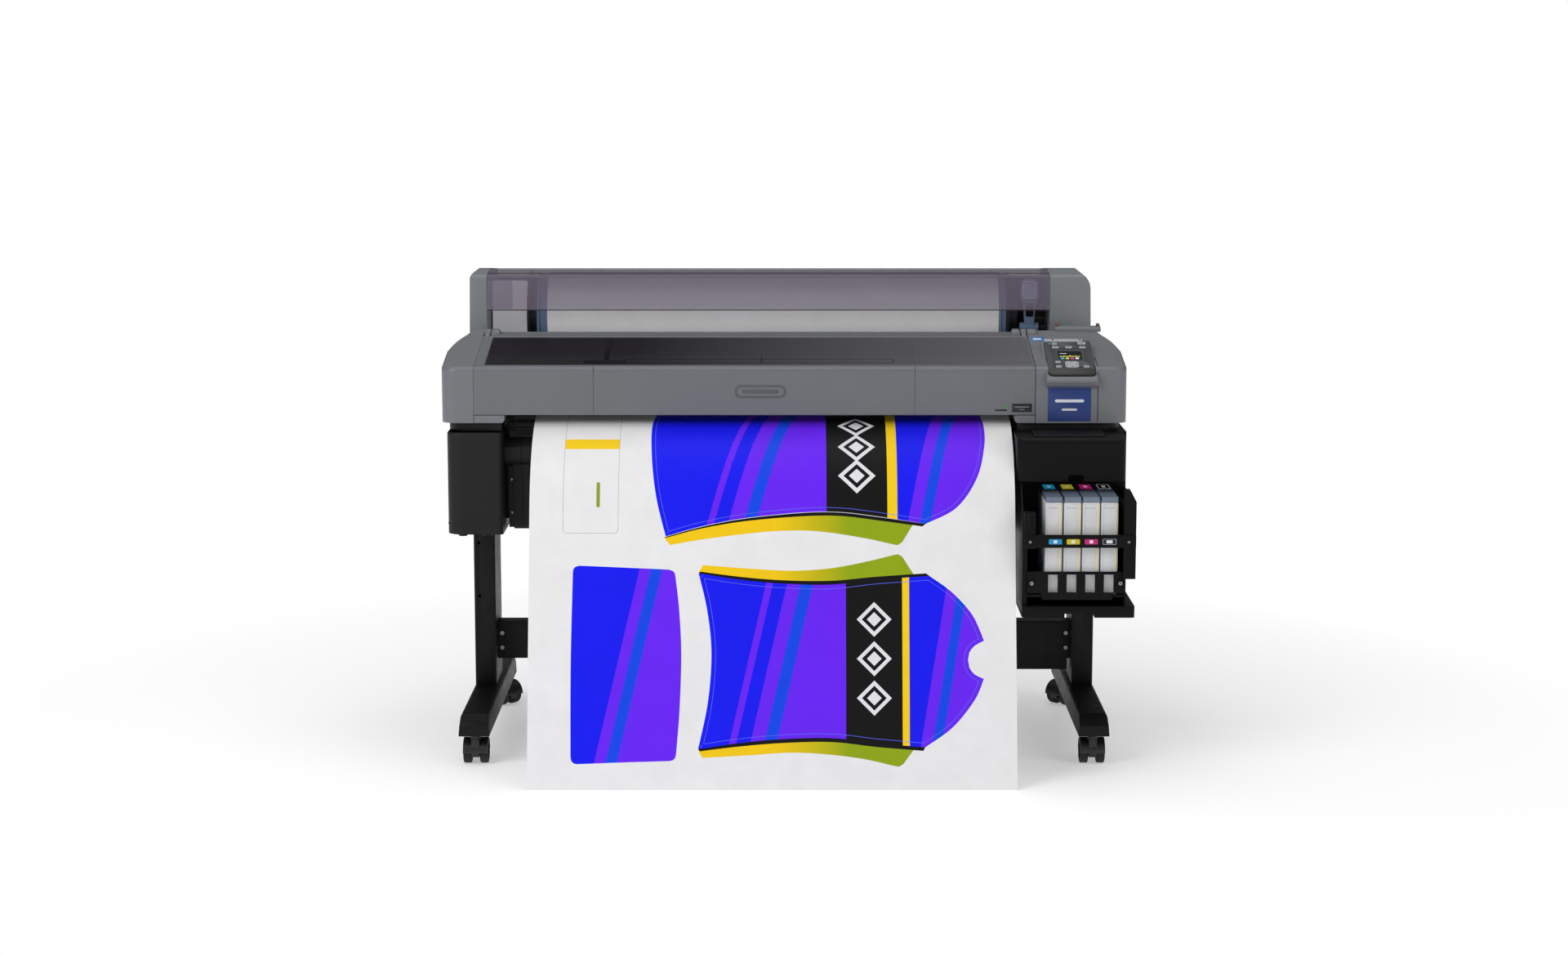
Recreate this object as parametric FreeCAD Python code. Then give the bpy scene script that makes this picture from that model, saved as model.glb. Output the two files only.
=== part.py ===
import FreeCAD, Part
import math
import os
from FreeCAD import Placement, Rotation, Vector

# Wide-format roll-fed printer with a built-in cutter, on a castered stand.
# mm; X to the viewer's right, +Y to the back, +Z up; Z = 0 is the floor.
os.makedirs("parts", exist_ok=True)

# ---------------------------------------------------------- shared dimensions
HALF_W = 804.0            # half of overall width
Y_FRONT = -508.0          # lowest end of the hanging sheet
Y_REAR = 508.0            # back of the roll towers
Z_TOP = 1128.0            # ridge of the roll towers
FACE_Y = -196.0           # front face of the body
FACE_Z = 932.0            # height of the front crease
TOP_SLOPE = 0.2           # rise of the top plane per mm of depth
WALL = 3.5                # wall of the body covers
BODY_Z0 = 802.0           # bottom of the grey body
ON_BASE_Z = BODY_Z0 + 0.2     # parts that stand just clear above BODY_Z0
PAN_Z0 = 781.0            # bottom of the black base band
UNDER_Z = PAN_Z0 - 0.4    # top of the casings hung under the base band
FOOT_Z0, FOOT_Z1 = 73.7, 124.0
COVER_X0, COVER_X1 = -726.5, 587.5
HINGE_Y, HINGE_Z = 75.0, 984.0        # front cover hinge
REAR_PIVOT = (495, 1052)              # roll cover pivot (y, z)
ROLL_Y, ROLL_Z, ROLL_R = 333.0, 1010.0, 105.0
ROLL_X0, ROLL_X1 = -586.0, 532.0      # 1118 mm of media
CORE_R = 38.1
SPINDLE_R = 12
LEVER_AXIS = (240, 985)               # roll lock lever (y, z)
LEVER_PIN_R = 4.0
PIN_R = 3.0
PIN_HOLE_R = PIN_R + 0.06
FEED_Y, FEED_R, FEED_Z = 30.0, 11.0, 799.4
PINCH_R, PINCH_Z = 8.0, 819.6
FEED_SHAFT_R = 4.0
BELT_Z, BELT_R = 925.0, 9.1
IDLER_X, MOTOR_X = -712.0, 752.0
LID_PIVOT = (-207, 772)               # ink cover pivot (y, z)


# -------------------------------------------------------------------- helpers
def box(x0, x1, y0, y1, z0, z1):
    return Part.makeBox(x1 - x0, y1 - y0, z1 - z0, Vector(x0, y0, z0))


def cyl_x(x0, x1, y, z, radius):
    return Part.makeCylinder(radius, x1 - x0, Vector(x0, y, z), Vector(1, 0, 0))


def cyl_y(y0, y1, x, z, radius):
    return Part.makeCylinder(radius, y1 - y0, Vector(x, y0, z), Vector(0, 1, 0))


def cyl_z(z0, z1, x, y, radius):
    return Part.makeCylinder(radius, z1 - z0, Vector(x, y, z0), Vector(0, 0, 1))


def round_corner(before, point, after, radius):
    """Start, middle and end of a corner's arc; the middle is None if it stays sharp."""
    corner = Vector(*point, 0)
    to_before = Vector(*before, 0) - corner
    to_after = Vector(*after, 0) - corner
    angle = to_before.getAngle(to_after)
    if radius <= 0 or angle > math.pi - 0.01:
        return corner, None, corner
    # the arc may take up to 0.49 of either side
    run = min(radius / math.tan(angle / 2), 0.49 * to_before.Length, 0.49 * to_after.Length)
    to_before.normalize()
    to_after.normalize()
    bisector = to_before + to_after
    bisector.normalize()
    reach = run / math.cos(angle / 2) - run * math.tan(angle / 2)
    return corner + to_before * run, corner + bisector * reach, corner + to_after * run


def outline(points, radii, place):
    """Face of straight runs and true arcs; place() puts a flat point in space."""
    count = len(points)
    if not isinstance(radii, (list, tuple)):
        radii = [radii] * count
    corners = [round_corner(points[i - 1], points[i], points[(i + 1) % count], radii[i])
               for i in range(count)]
    edges = []
    for i, (start, middle, end) in enumerate(corners):
        if middle is not None:
            edges.append(Part.Arc(place(start), place(middle), place(end)).toShape())
        following = corners[(i + 1) % count][0]
        if (following - end).Length > 1e-6:
            edges.append(Part.LineSegment(place(end), place(following)).toShape())
    return Part.Face(Part.Wire(edges))


def prism_x(x0, x1, yz, radii=0):
    return outline(yz, radii, lambda p: Vector(x0, p.x, p.y)).extrude(Vector(x1 - x0, 0, 0))


def prism_y(y0, y1, xz, radii=0):
    return outline(xz, radii, lambda p: Vector(p.x, y0, p.y)).extrude(Vector(0, y1 - y0, 0))


def prism_z(z0, z1, xy, radii=0):
    return outline(xy, radii, lambda p: Vector(p.x, p.y, z0)).extrude(Vector(0, 0, z1 - z0))


def rect(a0, a1, b0, b1):
    return [(a0, b0), (a1, b0), (a1, b1), (a0, b1)]


def span(side, near, far):
    """Ascending x range from near to far of the centre, on side 1 or -1."""
    return sorted((side * near, side * far))


def fuse(first, *rest):
    return first.fuse(list(rest)).removeSplitter()


def mirror_x(shape):
    return shape.mirror(Vector(0, 0, 0), Vector(1, 0, 0))


def z_span(edge):
    return abs(edge.Vertexes[0].Z - edge.Vertexes[-1].Z)


def fillet(shape, radius, pick):
    """Round the picked edges; keep the sharp shape if the kernel can't."""
    edges = [edge for edge in shape.Edges if pick(edge)]
    for factor in (1, 0.6, 0.3):
        # guards against a radius the kernel refuses; a smaller one follows
        try:
            result = shape.makeFillet(radius * factor, edges)
            if result.isValid() and result.Solids:
                return result
        except Exception:
            pass
    return shape


def top_z(y):
    return FACE_Z + TOP_SLOPE * (y - FACE_Y)


def on_top(y, depth=0.0):
    """Point (y, z) at a depth below the sloping top plane."""
    return (y, top_z(y) - depth)


def save(name, *solids):
    shape = solids[0] if len(solids) == 1 else Part.makeCompound(list(solids))
    shape.exportStep("parts/%s.step" % name)


def save_pair(name, right):
    save("right_" + name, right)
    save("left_" + name, mirror_x(right))


# ---------------------------------------------------------------------- stand
COL_X0, COL_X1, COL_Y0, COL_Y1 = 705.0, 757.0, 40.0, 190.0
COL_WALL = 3
FRONT_HOLE_X, FRONT_HOLE_ZS, FRONT_HOLE_R = 744.0, (346.0, 477.0), 4.0
SIDE_BOLT_Y, SIDE_BOLT_ZS = 115.0, (185.0, 255.0)
BEAM_BOLT_X, BEAM_BOLT_ZS = 696.0, (205.0, 241.5)
BOLT_R, BOLT_HEAD_R, BOLT_HOLE_R = 3.0, 5.0, 3.05
BEAM_Y = 100              # front face of the cross beam's web
WHEEL_R, TRAIL = 28.5, 17.0
CASTER_X, CASTER_FRONT_Y, CASTER_REAR_Y = 727.0, -262.0, 385.0
CASTERS = {               # name: (x, y, turn in degrees)
    "front_left": (-CASTER_X, CASTER_FRONT_Y, 0.0),
    "front_right": (CASTER_X, CASTER_FRONT_Y, 0.0),
    "rear_left": (-CASTER_X, CASTER_REAR_Y, -135.0),
    "rear_right": (CASTER_X, CASTER_REAR_Y, 135.0),
}


def column():
    """Hollow right column with bossed front holes and side bolt holes."""
    post = box(COL_X0, COL_X1, COL_Y0, COL_Y1, FOOT_Z1, PAN_Z0)
    post = fillet(post, 4.0, lambda edge: z_span(edge) > 100)
    post = post.cut(box(COL_X0 + COL_WALL, COL_X1 - COL_WALL,
                        COL_Y0 + COL_WALL, COL_Y1 - COL_WALL, FOOT_Z1 - 1, PAN_Z0 - 4))
    for z in FRONT_HOLE_ZS:
        boss = cyl_y(COL_Y0 + 1, COL_Y0 + 12, FRONT_HOLE_X, z, 8.5)
        post = post.fuse(boss.common(box(COL_X0, COL_X1 - 1, 0, 100, z - 9, z + 9)))
        post = post.cut(cyl_y(COL_Y0 - 1, COL_Y0 + 20, FRONT_HOLE_X, z, FRONT_HOLE_R))
    for z in SIDE_BOLT_ZS:
        post = post.cut(cyl_x(COL_X1 - 6, COL_X1 + 2, SIDE_BOLT_Y, z, BOLT_HOLE_R))
    return post.removeSplitter()


def foot():
    """Right foot: a tapered rail, hollow below, with holes for the caster stems."""
    section = [(691.0, FOOT_Z0), (764.0, FOOT_Z0), (759.5, FOOT_Z1), (694.5, FOOT_Z1)]
    rail = prism_y(-293.0, 421.0, section, [2, 2, 9, 9])
    rail = rail.cut(prism_x(600, 800, [(-300, 98), (-293, 98), (-262, 130), (-300, 130)]))
    rail = rail.cut(prism_x(600, 800, [(430, 100), (421, 100), (404, 130), (430, 130)]))
    rail = rail.cut(box(697, 758, -225, 350, FOOT_Z0 - 1, FOOT_Z1 - 4))
    for y in (CASTER_FRONT_Y, CASTER_REAR_Y):
        rail = rail.cut(cyl_z(FOOT_Z0 - 1, 101.0, CASTER_X, y, 6.05))
    return rail


def cross_beam():
    section = [  # (y, z)
        (100, 180), (101, 178), (140, 178), (140, 181), (103, 181), (103, 264),
        (140, 264), (140, 272), (97, 272), (96, 270), (96, 266), (100, 264)]
    beam = prism_x(-COL_X0, COL_X0, section)
    beam = beam.fuse(box(574, 699, BEAM_Y, BEAM_Y + 3, 150, 180))
    beam = beam.fuse([box(side * 687 - 18, side * 687 + 18, BEAM_Y, BEAM_Y + 3, 178, 272)
                      for side in (-1, 1)])
    for side in (-1, 1):
        for z in BEAM_BOLT_ZS:
            beam = beam.cut(cyl_y(98, 104, side * BEAM_BOLT_X, z, BOLT_HOLE_R))
    return beam.removeSplitter()


def beam_bolt(x, z):
    """Bolt along Y with a hexagon socket."""
    bolt = cyl_y(BEAM_Y - 3.5, BEAM_Y, x, z, BOLT_HEAD_R).fuse(cyl_y(99, 112, x, z, BOLT_R))
    angles = [math.radians(60 * i) for i in range(6)]
    socket = [(x + 2.4 * math.cos(angle), z + 2.4 * math.sin(angle)) for angle in angles]
    return bolt.cut(prism_y(96.0, 98.5, socket)).removeSplitter()


def side_bolt(side, z):
    head = cyl_x(*span(side, COL_X1, COL_X1 + 3.5), SIDE_BOLT_Y, z, BOLT_HEAD_R)
    return fuse(head, cyl_x(*span(side, COL_X1 - 8, COL_X1 + 1), SIDE_BOLT_Y, z, BOLT_R))


def caster(x, y, turn):
    """Swivel and twin wheel, built about the stem and then turned into place."""
    def axle(x0, x1, radius):
        return cyl_x(x0, x1, TRAIL, WHEEL_R, radius)

    web = axle(-9.5, 9.5, 32.5).common(box(-30, 30, -40, 80, WHEEL_R - 9, 90))
    web = web.fuse(box(-9.5, 9.5, -12, 20, 34, 61))
    hood = axle(-29, 29, 32.5).cut(axle(-30, 30, 30.0))
    hood = hood.common(box(-30, 30, -40, 80, WHEEL_R, 90))
    swivel = web.fuse([hood, cyl_z(58.5, 72.9, 0, 0, 12.0), cyl_z(72.0, 100.0, 0, 0, 6.0),
                       cyl_z(70.5, 72.9, 0, 0, 17.0)])
    swivel = swivel.cut(axle(-40, 40, 4.05)).removeSplitter()

    wheels = axle(-10.2, 10.2, 4.0)
    for side in (-1, 1):
        disc = axle(*span(side, 10.2, 29.0), WHEEL_R)
        disc = fillet(disc, 3.0, lambda edge: isinstance(edge.Curve, Part.Circle))
        wheels = wheels.fuse(disc.cut(axle(*span(side, 25.5, 30), 19.0)))
    wheels = wheels.removeSplitter()

    place = Placement(Vector(x, y, 0), Rotation(Vector(0, 0, 1), turn))
    swivel.Placement = place
    wheels.Placement = place
    return swivel, wheels


save_pair("column", column())
save_pair("foot", foot())
save("cross_beam", cross_beam())
bolts = []
for side in (-1, 1):
    bolts += [beam_bolt(side * BEAM_BOLT_X, z) for z in BEAM_BOLT_ZS]
    bolts += [side_bolt(side, z) for z in SIDE_BOLT_ZS]
save("stand_bolts", *bolts)
for name, (x, y, turn) in CASTERS.items():
    swivel, wheels = caster(x, y, turn)
    save("caster_swivel_" + name, swivel)
    save("caster_wheel_" + name, wheels)

# ------------------------------------------------------------------- base pan
# right half of the plan, front to back: (x, y, corner radius)
PAN_OUTER = [(791, -180, 60), (791, 0, 60), (748, 125, 10),
             (748, 184, 0), (770, 186, 0), (770, 480, 10)]
PAN_INNER = [(788, -177, 57), (788, -1, 57), (745, 124, 10),
             (745, 184, 0), (767, 189, 0), (767, 477, 7)]


def symmetric_prism(z0, z1, right_half):
    rows = right_half + [(-x, y, radius) for x, y, radius in reversed(right_half)]
    return prism_z(z0, z1, [row[:2] for row in rows], [row[2] for row in rows])


pan = symmetric_prism(PAN_Z0, BODY_Z0, PAN_OUTER)
pan = pan.cut(box(-664, 548, -200, -108, 770, 810))
hollow = symmetric_prism(PAN_Z0 + 3, BODY_Z0 + 1, PAN_INNER)
hollow = hollow.cut(box(-667, 551, -200, -105, 770, 810))
save("base_pan", pan.cut(hollow).removeSplitter())


# ----------------------------------------------------------------- end covers
def above_top(depth):
    """Block that trims everything above the top plane, or a depth below it."""
    return prism_x(600, 900, [on_top(-260, depth), on_top(200, depth), (200, 1100), (-260, 1100)])


def end_cover(x_in, outer_r, inner_r):
    """Right end cover, open below and at x_in; the radii are of its front corner."""
    outer = [(x_in, FACE_Y), (HALF_W, FACE_Y), (HALF_W, -50), (798, -13), (791, 21),
             (783, 47), (773, 72), (767, 93), (757, 121), (x_in, 121)]
    inner = [(x_in - 5, FACE_Y + WALL), (HALF_W - WALL, FACE_Y + WALL), (HALF_W - WALL, -50),
             (794, -13), (787, 20), (779, 45), (769, 70), (763, 90), (754, 117.5),
             (x_in - 5, 117.5)]
    cap = prism_z(BODY_Z0, 1040, outer, [0, outer_r, 60, 30, 30, 30, 30, 30, 14, 0])
    cap = cap.cut(above_top(0)).removeSplitter()

    def top_rim(edge):
        on_plane = all(abs(v.Z - top_z(v.Y)) < 0.01 for v in edge.Vertexes)
        return on_plane and not all(abs(v.X - x_in) < 0.01 for v in edge.Vertexes)

    cap = fillet(cap, 12.0, top_rim)
    hollow = prism_z(BODY_Z0 - 1, 1040, inner, [0, inner_r, 60, 30, 30, 30, 30, 30, 12, 0])
    return cap.cut(hollow.cut(above_top(6.5))).removeSplitter()


def front_trim(x0, x1, radii):
    """Low strip between an end part and the paper exit."""
    return prism_y(FACE_Y, -140.0, rect(x0, x1, ON_BASE_Z, 820), radii)


save("right_end_cover", end_cover(737.0, 66.5, 63))
save("left_end_cover", mirror_x(end_cover(727.0, 75, 71)), front_trim(-726, -655, [0, 10, 2, 0]))

# -------------------------------------------------------------- control panel
PANEL_X, PANEL_Y, PANEL_Z = 673.5, -213.0, 921.0      # middle of the front edge
PANEL_SLOPE = math.atan2(60.0, 164.0)
PANEL_HW, PANEL_L = 55.0, 175.0                       # half width, length up the slope
PANEL_PLACE = Placement(Vector(PANEL_X, PANEL_Y, PANEL_Z),
                        Rotation(Vector(1, 0, 0), math.degrees(PANEL_SLOPE)))
FIT = 0.1                                             # gap around a button
# Panel frame: u across from the middle, s up the slope, n out of the face.
BUTTONS = {   # name: (u0, u1, s0, s1, corner radius)
    "button_power": (-37.0, -25.0, 150.5, 162.5, 3.0),
    "button_pause": (24.0, 43.5, 152.5, 166.0, 3.0),
    "button_row_left": (-38.0, -22.5, 132.0, 142.0, 3.0),
    "button_row_middle": (-6.5, 9.0, 132.0, 142.0, 3.0),
    "button_row_right": (26.0, 41.5, 132.0, 142.0, 3.0),
    "button_back": (-36.5, -23.5, 54.0, 64.0, 3.0),
    "button_menu": (-36.5, -23.5, 30.0, 40.0, 3.0),
    "button_pad": (-14.0, 18.0, 30.0, 62.0, 8.0),
    "button_enter": (28.0, 41.0, 30.0, 40.0, 3.0),
}


def on_panel(s, n):
    """Point (y, z) of the panel frame in the printer's frame."""
    sine, cosine = math.sin(PANEL_SLOPE), math.cos(PANEL_SLOPE)
    return (PANEL_Y + s * cosine - n * sine, PANEL_Z + s * sine + n * cosine)


def seat(shape):
    """Move a shape from the panel frame into place."""
    shape.Placement = PANEL_PLACE
    return shape


def panel_housing():
    shell = prism_x(589, 737, [
        (FACE_Y, BODY_Z0), on_top(FACE_Y), on_top(106), (106, BODY_Z0), (102.5, BODY_Z0),
        on_top(102.5, 3.6), on_top(FACE_Y + WALL, 3.6), (FACE_Y + WALL, BODY_Z0)],
        [0, 12, 8, 0, 0, 4, 8.5, 0])
    wedge = prism_x(612, 734, [
        (-194, 884), (-212, 891), (-221, 904), on_panel(-5.5, -8.6), on_panel(-3, -8),
        on_panel(180, -8), on_top(-40, 2), on_panel(176, -34), (-194, 905)],
        [0, 6, 8, 0, 0, 5, 0, 0, 0])
    nose_y = on_panel(-20, 0)[0] - 2

    def side_of_nose(edge):
        flat = abs(edge.Vertexes[0].X - edge.Vertexes[-1].X) < 0.01
        return flat and all(nose_y < v.Y < -205 for v in edge.Vertexes)

    housing = fuse(shell, fillet(wedge, 5.0, side_of_nose))
    rear_rest = prism_z(-16, -1.5, rect(-33, 33, 176.5, 190), [0, 0, 5, 5])
    housing = fuse(housing, seat(rear_rest))
    bed = prism_z(-8, 30, rect(-PANEL_HW - 0.5, PANEL_HW + 0.5, -14, PANEL_L + 0.5),
                  [0, 0, 10, 10])
    return housing.cut(seat(bed)).removeSplitter()


def panel_bezel():
    bezel = prism_z(-8, 0, rect(-PANEL_HW, PANEL_HW, 0, PANEL_L), [14, 14, 10, 10])
    bezel = bezel.cut(prism_x(-60, 60, [(-1, -6), (-1, 2), (26, 2), (26, 0), (3, -3.4)]))
    bezel = bezel.fuse(prism_z(-0.5, 1.0, rect(-33, 36.5, 66, 125), 4))
    bezel = bezel.cut(prism_z(-1.0, 2.0, rect(-26.5, 29.0, 72, 116.5), 1.5))
    for u0, u1, s0, s1, radius in BUTTONS.values():
        opening = rect(u0 - FIT, u1 + FIT, s0 - FIT, s1 + FIT)
        bezel = bezel.cut(prism_z(-7.0, 3.0, opening, radius))
    return bezel.removeSplitter()


# raised bar across the back of the top
back_bar = prism_x(658, 769, [on_top(87), on_top(113), (112, top_z(113) + 8.5),
                              (90, top_z(87) + 10.5), (87, top_z(87) + 7)], [0, 0, 4, 4, 3])
back_bar = back_bar.common(prism_y(80, 120, rect(658, 769, 960, 1010), [0, 0, 7, 7]))
save("panel_housing", panel_housing(), back_bar, front_trim(540, COVER_X1, [10, 0, 0, 2]))
save("panel_bezel", seat(panel_bezel()))
save("screen", seat(prism_z(-1.0, 0.4, rect(-26.3, 28.8, 72.2, 116.3), 1.3)))
for name, (u0, u1, s0, s1, radius) in BUTTONS.items():
    button = prism_z(-5.6, 1.3, rect(u0, u1, s0, s1), radius)
    if name == "button_pad":          # four dimples
        for du, ds in ((0, 11.5), (0, -11.5), (11.5, 0), (-11.5, 0)):
            button = button.cut(cyl_z(0.9, 2.9, (u0 + u1) / 2 + du, (s0 + s1) / 2 + ds, 1.1))
    save(name, seat(button))

# ------------------------------------------------------- front cover and deck
WIN_X0, WIN_X1, WIN_Y0, WIN_Y1 = -702.0, 583.5, -174.0, 41.0
WIN_T = 2                 # window thickness
WIN_GAP = 0.15
LEFT_SEAM_X, RIGHT_SEAM_X = -446.0, 306.0     # moulding seams down the cover
SEAM_W, SEAM_DEPTH = 1.0, 0.8
END_RIB_T = 2.5


def slab(x0, x1, y0, y1, low, high):
    """Slab along the top plane, between two depths below it."""
    return prism_x(x0, x1, [on_top(y0, low), on_top(y1, low), on_top(y1, high), on_top(y0, high)])


def seam(x):
    """A narrow groove that follows the face and the top of the cover."""
    depth = SEAM_DEPTH
    return prism_x(x - SEAM_W / 2, x + SEAM_W / 2, [
        (FACE_Y - 1, 815), (FACE_Y - 1, FACE_Z + 2), on_top(60, -2), on_top(60, depth),
        on_top(FACE_Y + 14, depth), on_top(FACE_Y + 6, depth + 1.2),
        (FACE_Y + depth + 0.9, FACE_Z - 10), (FACE_Y + depth, FACE_Z - 16),
        (FACE_Y + depth, 815)])


def front_cover():
    cover = prism_x(COVER_X0, COVER_X1, [
        (FACE_Y, 821), on_top(FACE_Y), on_top(58), on_top(58, 4.1),
        on_top(FACE_Y + WALL, 4.1), (FACE_Y + WALL, 821)], [2, 12, 2, 0, 8.5, 0])
    # window seat, then the smaller opening through it
    cover = cover.cut(slab(WIN_X0, WIN_X1, WIN_Y0, WIN_Y1, WIN_T, -8))
    cover = cover.cut(slab(WIN_X0 + 8, WIN_X1 - 8, WIN_Y0 + 7, WIN_Y1 - 7, 9, -8))
    arm = [on_top(44, 2), on_top(56, 4), (75, 975), (84, 984), (75, 993), (60, 989),
           on_top(44, -0.5)]
    cover = fuse(cover, *[prism_x(x0, x0 + 10, arm, [0, 0, 7, 8, 7, 6, 0])
                          for x0 in (-722.0, 575.0)])
    for x0 in (-730.0, 560.0):
        cover = cover.cut(cyl_x(x0, x0 + 30, HINGE_Y, HINGE_Z, PIN_HOLE_R))
    rib = [(FACE_Y + 2, 823), (FACE_Y + 14, 908), on_top(FACE_Y + 44, 15), on_top(50, 10),
           on_top(50, 3), on_top(FACE_Y + 12, 3), (FACE_Y + 2, 922)]
    for x0 in (COVER_X0, COVER_X1 - END_RIB_T):
        cover = cover.fuse(prism_x(x0, x0 + END_RIB_T, rib))
    cover = cover.removeSplitter()
    # the left seam stops at the window; the right one runs on over it
    short_of_window = box(-500, -400, -300, WIN_Y0 - 1, 800, 1000)
    cover = cover.cut(seam(LEFT_SEAM_X).common(short_of_window))
    return cover.cut(seam(RIGHT_SEAM_X))


def top_deck():
    deck = prism_x(-708, 572, [on_top(61), (104, 987.2), (108, 986), (108, 900), (105, 900),
                               (105, 983), on_top(61, 3.2)], [0, 5, 3, 0, 0, 3, 0])
    lip = box(-727, 589, 105, 108, 900, 968)
    ribs = [box(x0, x0 + 7, 64, 106, 974, 983.8) for x0 in (-708, 565)]
    pins = [cyl_x(x0, x1, HINGE_Y, HINGE_Z, PIN_R) for x0, x1 in ((-726, -704), (569, 586.5))]
    hump = [(64, 983), (100, 986), (100, 990), (92, 993), (70, 992)]
    humps = [prism_x(x0, x0 + 12, hump, [0, 0, 3, 4, 3]) for x0 in (-708, 560)]
    return fuse(deck, lip, *ribs, *pins, *humps)


save("front_cover", front_cover())
window = slab(WIN_X0 + WIN_GAP, WIN_X1 - WIN_GAP, WIN_Y0 + WIN_GAP, WIN_Y1 - WIN_GAP, WIN_T, 0)
window = window.cut(slab(RIGHT_SEAM_X - SEAM_W / 2, RIGHT_SEAM_X + SEAM_W / 2,
                         WIN_Y0 - 2, WIN_Y1 + 2, 0.6, -2))
save("front_window", window)
save("top_deck", top_deck())

# ---------------------------------------------------- roll towers and covers
# side outlines (y, z)
TOWER_OUTER = [(185, BODY_Z0), (190.5, 1118), (290, Z_TOP + 0.24), (478, 1113),
               (Y_REAR, 1062), (Y_REAR, BODY_Z0)]
TOWER_INNER = [(190, BODY_Z0 - 1), (195, 1112), (290, 1122), (474, 1108),
               (503, 1058), (503, BODY_Z0 - 1)]
BRACKET = [(306, 900), (360, 905), (366, 1005), (352, 1032), (314, 1032), (300, 1005)]
ROLL_COVER = [
    (186.0, 1031), (190.5, 1117.5), (290, 1127.5), (477, 1112.5), (505, 1062), (505, 1044),
    (502, 1044), (502, 1061.3), (475.2, 1109.8), (290, 1124.5), (193.2, 1114.8), (189.0, 1031)]


def tower_block(x_in, x_out, x_top, z_top, side_view, side_radii, shoulder_r):
    """Side outline trimmed to a leaning outer wall with a rounded shoulder."""
    block = prism_x(x_in, x_out, side_view, side_radii)
    base_z = BODY_Z0 - 5
    front_view = [(x_in, base_z), (x_out, base_z), (x_top, z_top), (x_in, z_top)]
    return block.common(prism_y(100, 600, front_view, [0, 0, shoulder_r, 0]))


def tower(x_in, x_out, x_top):
    """Hollow right-hand tower; x_top is where its outer wall meets the ridge."""
    outer = tower_block(x_in, x_out, x_top, Z_TOP, TOWER_OUTER, [0, 10, 60, 24, 24, 0], 45)
    inner = tower_block(x_in + 4, x_out - 5, x_top - 6, Z_TOP - 5,
                        TOWER_INNER, [0, 8, 50, 20, 20, 0], 38)
    return outer.cut(inner).removeSplitter()


def bracket(x0, x1, hole_x0, hole_x1):
    """Bearer with a blind hole for the roll spindle."""
    bearer = prism_x(x0, x1, BRACKET, [4, 4, 10, 12, 12, 10])
    return bearer.cut(cyl_x(hole_x0, hole_x1, ROLL_Y, ROLL_Z, SPINDLE_R + 0.06))


def roll_cover():
    cover = prism_x(-730.4, 653.4, ROLL_COVER, [1, 10, 60, 24, 24, 0, 0, 21, 21, 57, 7, 1])
    ear = [(503, 1044), (503, 1068), (486, 1062), (486, 1044)]
    cover = cover.fuse([prism_x(x0, x0 + 10, ear, [0, 0, 6, 6]) for x0 in (-728, 641)])
    for x0, x1 in ((-735, -714), (637, 660)):
        cover = cover.cut(cyl_x(x0, x1, *REAR_PIVOT, PIN_HOLE_R))
    return cover.removeSplitter()


right_tower = fuse(tower(654.0, 758.0, 753.0), bracket(596, 655, 590, 652),
                   cyl_x(579.5, 655, *LEVER_AXIS, LEVER_PIN_R),
                   box(636, 655, 232, 248, 978, 992))
left_tower = fuse(mirror_x(tower(731.0, 776.0, 772.0)), bracket(-732, -660, -729, -655))
# the roll cover's pivots sit on the towers
save("right_roll_tower", fuse(right_tower, cyl_x(640.0, 655.0, *REAR_PIVOT, PIN_R)))
save("left_roll_tower", fuse(left_tower, cyl_x(-732.0, -717.0, *REAR_PIVOT, PIN_R)))
save("roll_cover", roll_cover())

chute = prism_x(-726, 588, [(96, 812), (128, 835), (360, 897), (468, 905),
                            (468, 902), (360, 894), (130, 832), (99, 810)])
save("rear_panel", fuse(chute, box(-731, 654, 468, 471, PAN_Z0 + 3, 1095),
                        box(-731, 654, 460, 471, 1092, 1095),
                        box(-700, -640, 464, 469, 930, 1020)))

# ---------------------------------------------------------------------- media
SHEET_T = 0.6
PLUG_R = CORE_R - 0.1     # adapter plug inside the core
# adapter steps: (x0, x1, radius)
LEFT_ADAPTER = [(-636, -630, 107), (-630, -612, 95), (-612, -607, 104), (-607, -592, 99),
                (-592, -586.2, 103), (-586.5, -526, PLUG_R), (-728, -636, SPINDLE_R)]
RIGHT_ADAPTER = [(532.2, 538, 103), (538, 553, 99), (553, 558, 104), (558, 578, 88),
                 (472, 532.5, PLUG_R), (578, 651, SPINDLE_R)]
ENTRY_Y, ENTRY_Z = 130.0, 851.0       # where the sheet off the roll enters the printer
SHEET_PATH = [            # (y, z) from the entry to the floor
    (ENTRY_Y, ENTRY_Z), (108, 840.0), (86, 826.5), (66, 816.5), (48, 811.8), (30, 811.0),
    (-40, 811.0), (-105, 811.0), (-130, 808.2), (-165, 801.0), (-200, 788.0),
    (-235, 769.5), (-266, 747.0), (-298, 713.0), (-326, 671.0), (-345, 620.0),
    (-361, 555.0), (-386, 462.0), (-411, 376.0), (-436, 288.0), (-460, 198.0),
    (-479, 122.0), (-495.5, 55.0), (-508.6, -2.0)]


def stepped(steps):
    return fuse(*[cyl_x(x0, x1, ROLL_Y, ROLL_Z, radius) for x0, x1, radius in steps])


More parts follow.
